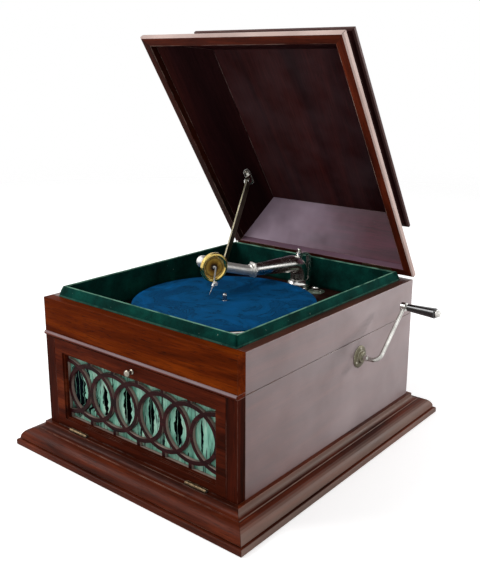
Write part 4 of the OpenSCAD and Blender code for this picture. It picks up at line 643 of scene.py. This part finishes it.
def felt_finish():
    """Wool felt: matted fibres, in clouds of lighter and darker blue where records have rubbed it."""
    material, tree, surface, place = new_finish("worn blue wool felt", {
        "Sheen Weight": 0.06, "Sheen Roughness": 0.5, "Sheen Tint": paint("#3F8CC8"),
        "Specular IOR Level": 0.03, "Roughness": 0.92})
    # Fibres are about 0.03 mm thick, drawn 0.9 mm apart so that they show
    fibre = add(tree, "ShaderNodeTexNoise", {"Scale": 1 / (0.9 * MM), "Detail": 4.0, "Roughness": 0.7},
                {0: place})
    cloud = add(tree, "ShaderNodeTexNoise", {
        "Scale": 1 / (70 * MM), "Detail": 7.0, "Roughness": 0.6, "Distortion": 1.6}, {0: place})
    color = add(tree, "ShaderNodeValToRGB", {"stops": [
        (0.32, "#03345A"), (0.48, "#044068"), (0.62, "#044A7C"), (0.75, "#075C94")]}, {0: cloud})
    # Fine dark lines where the cloud pattern turns, as painted shade of creases
    felt_crease_shade = add(tree, "ShaderNodeMath", {"operation": "SUBTRACT", 1: 0.46}, {0: cloud})
    felt_crease_shade = add(tree, "ShaderNodeMath", {"operation": "ABSOLUTE"}, {0: felt_crease_shade})
    felt_crease_shade = add(tree, "ShaderNodeMapRange", {"From Min": 0.014, "From Max": 0.002, "To Max": 0.7}, {0: felt_crease_shade})
    color = add(tree, "ShaderNodeMix", {"data_type": "RGBA", 7: paint("#021B30")},
                {0: felt_crease_shade, 6: color}).outputs[2]
    color = shaded(tree, color, fibre, 0.78, 1.2)
    bump = add(tree, "ShaderNodeBump", {"Strength": 0.5, "Distance": 0.25 * MM}, {"Height": fibre})
    connect(tree, surface, {"Base Color": color, "Normal": bump})
    return material


def felt_disc():
    """The felt as a ring with a soft outer edge and a faint cockle."""
    low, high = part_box("turntable_felt")
    middle = (low + high) / 2
    radius = (high.x - low.x) / 2
    bore = 4.05 * MM
    edge = 0.9 * MM
    cockle = 0.12 * MM
    outline = [(bore, low.z), (radius - 0.3 * MM, low.z)]
    outline += [(radius - edge * (1 - math.cos(a)), high.z - edge * (1 - math.sin(a)))
                for a in map(math.radians, (0, 30, 60, 90))]
    outline += [(bore + (radius - edge - bore) * i / 22, high.z) for i in range(21, -1, -1)]
    rings = []
    for i in range(144):
        turn = math.radians(2.5 * i)
        ring = []
        for r, z in outline:
            x, y = middle.x + r * math.cos(turn), middle.y + r * math.sin(turn)
            if z > low.z + 1 * MM:
                z += cockle * (wobble(x, y, 0, 30 * MM) - 0.6)
            ring.append(Vector((x, y, z)))
        rings.append(ring)
    return loft("turntable_felt_disc", rings, wrap=True)


felt = new_piece("turntable_felt_disc", felt_disc(), felt_finish(), "turntable")
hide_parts("turntable_felt")


# Silk behind the fretwork

def silk_finish():
    """Woven silk: fine upright threads with a cool sheen, streaked where it has faded."""
    material, tree, surface, place = new_finish("faded pale green silk", {
        "Sheen Weight": 0.5, "Sheen Roughness": 0.3, "Sheen Tint": paint("#D8F4EA"), "Roughness": 0.55})
    drawn = add(tree, "ShaderNodeMapping", {"Scale": (1, 1, 0.03)}, {0: place})
    # Threads are 0.2 mm apart, drawn 0.9 mm apart so that they show
    thread = add(tree, "ShaderNodeTexNoise", {"Scale": 1 / (0.9 * MM), "Detail": 2.0}, {0: drawn})
    fade = add(tree, "ShaderNodeMapping", {"Scale": (1, 1, 0.22)}, {0: place})
    fade = add(tree, "ShaderNodeTexNoise", {"Scale": 1 / (14 * MM), "Detail": 5.0, "Roughness": 0.6},
               {0: fade})
    color = add(tree, "ShaderNodeValToRGB", {"stops": [
        (0.30, "#35705F"), (0.44, "#6BAC95"), (0.56, "#8CC2AC"), (0.68, "#B4D2BC")]}, {0: fade})
    # Thin dark upright lines: painted shade of creases, and pulled threads
    silk_crease_shade = add(tree, "ShaderNodeMapping", {"Scale": (1, 1, 0.09)}, {0: place})
    silk_crease_shade = add(tree, "ShaderNodeTexNoise", {"Scale": 1 / (3.6 * MM), "Detail": 3.0, "Roughness": 0.6},
                 {0: silk_crease_shade})
    silk_crease_shade = add(tree, "ShaderNodeMapRange", {"From Min": 0.59, "From Max": 0.63, "To Max": 0.9},
                 {0: silk_crease_shade})
    color = add(tree, "ShaderNodeMix", {"data_type": "RGBA", 7: paint("#14262C")},
                {0: silk_crease_shade, 6: color}).outputs[2]
    color = shaded(tree, color, thread, 0.72, 1.15)
    bump = add(tree, "ShaderNodeBump", {"Strength": 0.4, "Distance": 0.2 * MM}, {"Height": thread})
    connect(tree, surface, {"Base Color": color, "Normal": bump})
    return material


# Each tear in the silk: its middle, its lower and upper end, and how far it gapes, in millimetres
TEARS = [
    (-143, 58, 150, 38), (-120, 60, 152, 8), (-110, 66, 143, 3), (-156, 130, 148, 2.5), (-102, 62, 120, 2),
    (-91, 54, 76, 2.5), (-81, 80, 130, 12), (-69, 92, 132, 1.5), (-59, 122, 151, 2.5), (-46, 60, 84, 1.6),
    (-28, 78, 141, 17), (1, 64, 93, 4), (9, 58, 80, 1.5), (23.5, 80, 141, 13), (37, 96, 130, 1.5),
    (48, 124, 155, 4), (49, 66, 97, 3.5), (66, 96, 119, 2.5), (79, 79, 142, 15), (98, 60, 80, 1.5),
    (124, 84, 136, 4.5), (140, 70, 96, 1.5),
]


def torn_silk():
    """Upright ribbons of cloth that share their edges, except along the tears, where they are drawn apart.

    It works in millimetres.
    """
    low, high = (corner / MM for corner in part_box("grille_cloth"))
    pitch = 1.3
    step = 3.2
    # The cloth stays between these depths, and loose threads hang at the third
    front_y, rear_y, thread_y = -221.9, -220.2, -221.2
    columns = round((high.x - low.x) / pitch)
    rows = round((high.z - low.z) / step)
    x_of = [low.x + (high.x - low.x) * i / columns for i in range(columns + 1)]
    z_of = [low.z + (high.z - low.z) * j / rows for j in range(rows + 1)]
    tears = [(min(range(columns + 1), key=lambda i: abs(x_of[i] - x)), z0, z1, gape)
             for x, z0, z1, gape in TEARS]

    def gape_at(tear, z):
        """How far a tear gapes at a height."""
        column, z0, z1, gape = tear
        if not z0 < z < z1:
            return 0.0
        ragged = 1.0 + 0.55 * wobble(column * 3.1, z, 0, 7.0)
        return gape * ragged * math.sin(math.pi * (z - z0) / (z1 - z0)) ** 0.6

    def place(column, row, side):
        """Where a crossing of threads lies, on the left or right edge of a tear, or on no edge."""
        x, z = x_of[column], z_of[row]
        shift = 0.0
        for tear in tears:
            gap = gape_at(tear, z)
            if gap:
                away = x - x_of[tear[0]]
                turn = 1.0 if away > 0 or (away == 0 and side > 0) else -1.0
                shift += turn * gap / 2 * math.exp(-abs(away) / (3 + gap))
        fray = 0.9 * wobble(column * 7.7, z, side, 3.4) if side else 0.0
        y = low.y + 0.5 + 0.45 * wobble(x, 0, z * 0.25, 9.0) + 0.3 * side * wobble(0, x, z, 5.0)
        return Vector((x + shift + fray, min(max(y, front_y), rear_y), z)) * MM

    torn = {(tear[0], row) for tear in tears for row, z in enumerate(z_of) if gape_at(tear, z)}
    points, index = [], {}

    def corner(column, row, side):
        """The number of a crossing's point, made when it is first met."""
        key = (column, row, side if (column, row) in torn else 0)
        if key not in index:
            index[key] = len(points)
            points.append(place(*key))
        return index[key]

    faces = []
    for i in range(columns):
        for j in range(rows):
            faces.append((corner(i, j, 1), corner(i + 1, j, -1), corner(i + 1, j + 1, -1),
                          corner(i, j + 1, 1)))
    # Loose threads hang across the wide tears
    for column, z0, z1, gape in tears:
        for k in range(int(gape / 9)):
            lean = (k + 0.4) / int(gape / 9) - 0.5
            for row in range(rows + 1):
                z = z_of[row]
                drift = lean * gape_at((column, z0, z1, gape), z) + 0.8 * wobble(column, k * 9.1, z, 12.0)
                for edge in (-0.3, 0.3):
                    points.append(Vector((x_of[column] + drift + edge, thread_y, z)) * MM)
                if row and z0 < z < z1 + step:
                    last = len(points) - 4
                    faces.append((last, last + 1, last + 3, last + 2))
    mesh = bpy.data.meshes.new("torn_silk")
    mesh.from_pydata([tuple(p) for p in points], [], faces)
    return mesh


silk = new_piece("torn_silk", torn_silk(), silk_finish(), "door")
thickness = silk.modifiers.new("cloth thickness", "SOLIDIFY")
thickness.thickness = 0.2 * MM
thickness.offset = 0.0
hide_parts("grille_cloth")


# Screws

def screw_tree(material):
    """Slotted screw heads on the points of a mesh, each facing along its aim and turned by its spin."""
    tree = bpy.data.node_groups.new("slotted screws", "GeometryNodeTree")
    tree.interface.new_socket("Geometry", in_out="INPUT", socket_type="NodeSocketGeometry")
    for name in ("Head radius", "Head height", "Slot width"):
        tree.interface.new_socket(name, in_out="INPUT", socket_type="NodeSocketFloat")
    tree.interface.new_socket("Geometry", in_out="OUTPUT", socket_type="NodeSocketGeometry")
    entry = add(tree, "NodeGroupInput").outputs
    crown = add(tree, "ShaderNodeMath", {"operation": "MULTIPLY", 1: 0.72}, {0: entry["Head radius"]})
    head = add(tree, "GeometryNodeMeshCone", {"Vertices": 28}, {
        "Radius Top": crown, "Radius Bottom": entry["Head radius"], "Depth": entry["Head height"]})
    long = add(tree, "ShaderNodeMath", {"operation": "MULTIPLY", 1: 2.4}, {0: entry["Head radius"]})
    size = add(tree, "ShaderNodeCombineXYZ", {}, {
        "X": long, "Y": entry["Slot width"], "Z": entry["Head height"]})
    cutter = add(tree, "GeometryNodeMeshCube", {}, {"Size": size})
    lift = add(tree, "ShaderNodeCombineXYZ", {}, {"Z": entry["Head height"]})
    cutter = add(tree, "GeometryNodeTransform", {}, {"Geometry": cutter, "Translation": lift})
    slotted = add(tree, "GeometryNodeMeshBoolean", {"operation": "DIFFERENCE"}, {0: head, 1: cutter})
    aim = add(tree, "GeometryNodeInputNamedAttribute", {"data_type": "FLOAT_VECTOR", "Name": "aim"})
    facing = add(tree, "FunctionNodeAlignRotationToVector", {"axis": "Z"}, {"Vector": aim})
    placed = add(tree, "GeometryNodeInstanceOnPoints", {}, {
        "Points": entry["Geometry"], "Instance": slotted, "Rotation": facing})
    spin = add(tree, "GeometryNodeInputNamedAttribute", {"data_type": "FLOAT", "Name": "spin"})
    spin = add(tree, "ShaderNodeCombineXYZ", {}, {"Z": spin})
    placed = add(tree, "GeometryNodeRotateInstances", {}, {"Instances": placed, "Rotation": spin})
    real = add(tree, "GeometryNodeRealizeInstances", {}, {"Geometry": placed})
    done = add(tree, "GeometryNodeSetMaterial", {"Material": material}, {"Geometry": real})
    add(tree, "NodeGroupOutput", {}, {"Geometry": done})
    return tree


def screws(name, places, body, radius, height, width):
    """Screw heads at places, each a point and the way it faces, with their slots at random turns."""
    points = bpy.data.meshes.new(name + "_points")
    points.from_pydata([tuple(p) for p, way in places], [], [])
    aims = [c for p, way in places for c in Vector(way).normalized()]
    points.attributes.new("aim", "FLOAT_VECTOR", "POINT").data.foreach_set("vector", aims)
    dice = random.Random(name)
    spins = [dice.uniform(0, 3.1) for _ in places]
    points.attributes.new("spin", "FLOAT", "POINT").data.foreach_set("value", spins)
    holder = put(name + "_points", points)
    rule = holder.modifiers.new("screws", "NODES")
    rule.node_group = screw_rule
    for key, value in (("Head radius", radius), ("Head height", height), ("Slot width", width)):
        rule[screw_rule.interface.items_tree[key].identifier] = value
    depsgraph = bpy.context.evaluated_depsgraph_get()
    mesh = bpy.data.meshes.new_from_object(holder.evaluated_get(depsgraph))
    bpy.data.objects.remove(holder)
    new_piece(name, mesh, None, body, smooth=False)


screw_rule = screw_tree(screw_nickel)
# Three screws on a circle of 13.8 mm hold the plate round the crank
escutcheon_places = [
    (Vector((HALF_W + 2.5 * MM, CRANK_Y + 13.8 * MM * math.cos(a), CRANK_Z + 13.8 * MM * math.sin(a))),
     (1, 0, 0)) for a in map(math.radians, (90, 210, 330))]
screws("escutcheon_screws", escutcheon_places, "cabinet", 2.3 * MM, 1.2 * MM, 0.6 * MM)
guide_places = [(Vector((GUIDE_X, y, GUIDE_TOP)), (0, 0, 1)) for y in (0.093, 0.127)]
screws("stay_guide_screws", guide_places, "cabinet", 2.2 * MM, 0.9 * MM, 0.55 * MM)
# The motor hangs on four bolts at the corners of its frame, sunk 0.1 mm
bolt_places = [(Vector((x, y, DECK_Z - 0.1 * MM)), (0, 0, 1))
               for x in (-27 * MM, 31 * MM) for y in (-0.098, 0.066)]
screws("motor_bolts", bolt_places, "cabinet", 4.5 * MM, 2.2 * MM, 1.1 * MM)


def opened(x, y, z):
    """A point of the closed lid, where the open lid has it."""
    return LID_AXIS + Matrix.Rotation(-LID_OPEN, 3, "X") @ (Vector((x, y, z)) - LID_AXIS)


bracket_aim = opened(*LEFT_SLOPE_WAY) - opened(0, 0, 0)
bracket_places = [(opened(BRACKET_X, y, BRACKET_Z), bracket_aim) for y in (0.0841, 0.1081)]
screws("stay_bracket_screws", bracket_places, "lid", 2.8 * MM, 1.2 * MM, 0.6 * MM)


# Dial, stud and the ends of the sound arm

def dial_marks():
    """Nine bars round the dial, from slow to fast, standing a hair above it."""
    mesh = bpy.data.meshes.new("dial_marks")
    work = bmesh.new()
    outer_end = 15 * MM
    for i in range(9):
        length = (3.4 if i % 4 == 0 else 2.2) * MM
        turn = Matrix.Translation(DIAL) @ Matrix.Rotation(math.radians(-32 + 8 * i), 4, "Z")
        out = Matrix.Translation((outer_end - length / 2, 0, 0))
        size = Matrix.Diagonal((length, 0.5 * MM, 0.25 * MM, 1))
        bmesh.ops.create_cube(work, size=1.0, matrix=turn @ out @ size)
    bmesh.ops.bevel(work, geom=work.edges[:], offset=0.06 * MM, segments=2, affect="EDGES")
    work.to_mesh(mesh)
    work.free()
    return mesh


new_piece("dial_marks", dial_marks(), ink, "cabinet", smooth=False)


def stud():
    """Turned stud at the rear left corner of the lining, where the shut lid meets it, in millimetres."""
    middle = Vector((-173.6, 207.4, 268.1))
    # Radius and height of its shank, flange, neck and domed head
    outline = [(1.2, -6.0), (1.2, -0.2), (2.6, 0.0), (2.6, 0.7), (1.9, 1.0), (1.7, 1.6), (2.4, 2.1),
               (2.5, 2.7), (2.0, 3.3), (0.9, 3.7), (0.05, 3.8)]
    turns = [math.tau * i / 24 for i in range(24)]
    rings = [[(middle + Vector((r * math.cos(a), r * math.sin(a), z))) * MM for a in turns]
             for r, z in outline]
    return loft("lining_stud", rings)


new_piece("lining_stud", stud(), nickel, "cabinet")


def arm_bell():
    """Spun bell round the socket of the sound arm's base, open in the middle, in millimetres."""
    low, high = (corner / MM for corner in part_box("tonearm_base"))
    foot_r = (high.x - low.x) / 2
    middle = Vector(((low.x + high.x) / 2, low.y + foot_r, DECK_Z / MM))
    # How far each height stands out past the foot's radius: a rolled lip, a waist, the bell, its bore
    outline = [(-0.4, 2.2), (0.3, 3.2), (0.2, 4.2), (-0.8, 5.2), (-0.2, 6.6), (0.2, 8.4), (0.1, 10.4),
               (-0.7, 12.6), (-2.0, 14.6), (-3.5, 16.2), (-4.9, 17.3), (-5.4, 17.8), (-5.9, 17.4),
               (-5.9, 2.2)]
    rings = []
    for i in range(64):
        way = Vector((math.cos(math.tau * i / 64), math.sin(math.tau * i / 64), 0))
        rings.append([(middle + way * (foot_r + out) + Vector((0, 0, z))) * MM for out, z in outline])
    return loft("tonearm_bell", rings, wrap=True)


new_piece("tonearm_bell", arm_bell(), arm_nickel, "cabinet")


def gooseneck_nose():
    """Rounded end of the gooseneck, which runs on a little past the sound box, in millimetres."""
    to_arm = Matrix.Translation(ARM_PIVOT) @ Matrix.Rotation(-ARM_ANGLE, 4, "Z")
    turns = [math.tau * i / 40 for i in range(40)]
    rings = []
    # Place along the arm from its pivot, radius, and height of the middle above the sound box's
    for y, r, rise in ((-180, 8.9, -1.2), (-184, 9.6, 0.0), (-190, 10.8, 2.0), (-196, 11.4, 3.5),
                       (-201, 10.9, 4.5), (-205, 9.3, 5.0), (-208, 6.8, 5.0), (-210, 3.6, 5.0),
                       (-210.6, 0.05, 5.0)):
        z = SOUND_BOX_Z / MM + rise
        rings.append([to_arm @ (Vector((r * math.cos(a) - 1, y, z + r * math.sin(a))) * MM) for a in turns])
    return loft("gooseneck_nose", rings)


new_piece("gooseneck_nose", gooseneck_nose(), satin_nickel, "gooseneck")


# Stage

def look_camera():
    """The photograph's camera: its place, its turn and the shift of its picture."""
    place = (0.7833, -0.9247, 0.6035)
    azimuth, elevation, roll = map(math.radians, (37.975, 14.343, 0.610))
    back = Vector((math.sin(azimuth) * math.cos(elevation), -math.cos(azimuth) * math.cos(elevation),
                   math.sin(elevation)))
    level_right = Vector((math.cos(azimuth), math.sin(azimuth), 0.0))
    level_up = back.cross(level_right)
    right = level_right * math.cos(roll) + level_up * math.sin(roll)
    up = level_up * math.cos(roll) - level_right * math.sin(roll)
    lens = bpy.data.cameras.new("camera")
    lens.lens = 47.35
    lens.shift_x = -0.0461
    lens.shift_y = -0.0450
    lens.clip_start = 0.05
    lens.clip_end = 50.0
    camera = put("camera", lens)
    camera.matrix_world = Matrix.Translation(place) @ Matrix((right, up, back)).transposed().to_4x4()
    bpy.context.scene.camera = camera


def soft_lamp(name, place, target, width, power):
    """A square white lamp, aimed at a point."""
    lamp = bpy.data.lights.new(name, "AREA")
    lamp.size = width
    lamp.energy = power
    holder = put(name, lamp)
    holder.location = place
    holder.rotation_euler = (Vector(target) - Vector(place)).to_track_quat("-Z", "Y").to_euler()


def light_world():
    """White for what is seen, mirrored or seen through, and dimmer as a light on the object."""
    world = bpy.data.worlds.new("studio")
    bpy.context.scene.world = world
    world.use_nodes = True
    tree = world.node_tree
    tree.nodes.clear()
    path = add(tree, "ShaderNodeLightPath")
    seen = add(tree, "ShaderNodeMath", {"operation": "MAXIMUM"}, {
        0: path.outputs["Is Camera Ray"], 1: path.outputs["Is Glossy Ray"]})
    seen = add(tree, "ShaderNodeMath", {"operation": "MAXIMUM"}, {
        0: seen, 1: path.outputs["Is Transmission Ray"]})
    strength = add(tree, "ShaderNodeMapRange", {"To Min": 0.55, "To Max": 1.0}, {0: seen})
    back = add(tree, "ShaderNodeBackground", {"Color": (1, 1, 1, 1)}, {"Strength": strength})
    add(tree, "ShaderNodeOutputWorld", {}, {"Surface": back})


def lay_floor():
    """A pale floor that fades into the white world far from the object."""
    mesh = bpy.data.meshes.new("floor")
    size = 5.0
    corners = [(-size, -size, 0), (size, -size, 0), (size, size, 0), (-size, size, 0)]
    mesh.from_pydata(corners, [], [(0, 1, 2, 3)])
    floor = put("floor", mesh)
    material = bpy.data.materials.new("white paper floor")
    material.use_nodes = True
    tree = material.node_tree
    tree.nodes.clear()
    paper = add(tree, "ShaderNodeBsdfDiffuse", {"Color": paint("#F7F7F7")})
    path = add(tree, "ShaderNodeLightPath")
    glow_share = add(tree, "ShaderNodeMath", {"operation": "MULTIPLY", 1: 0.38},
                     {0: path.outputs["Is Camera Ray"]})
    glow = add(tree, "ShaderNodeEmission", {}, {"Strength": glow_share})
    paper = add(tree, "ShaderNodeAddShader", {}, {0: paper, 1: glow})
    place = add(tree, "ShaderNodeTexCoord").outputs["Object"]
    far = add(tree, "ShaderNodeVectorMath", {"operation": "LENGTH"}, {0: place}).outputs["Value"]
    fade = add(tree, "ShaderNodeMapRange", {
        "interpolation_type": "SMOOTHSTEP", "From Min": 1.2, "From Max": 4.0}, {0: far})
    open_air = add(tree, "ShaderNodeBsdfTransparent")
    both = add(tree, "ShaderNodeMixShader", {}, {0: fade, 1: paper, 2: open_air})
    add(tree, "ShaderNodeOutputMaterial", {}, {"Surface": both})
    mesh.materials.append(material)


look_camera()
light_world()
lay_floor()
soft_lamp("window", (-1.5, -1.3, 1.9), (0, 0, 0.15), 1.4, 42)
soft_lamp("fill", (1.9, 0.4, 1.5), (0, 0, 0.15), 1.6, 5)
# Small and low, so that the crank throws a shadow on the side
soft_lamp("back window", (1.3, 1.6, 0.75), (0.2, 0.05, 0.2), 0.22, 15)
bpy.context.scene.view_settings.view_transform = "Standard"
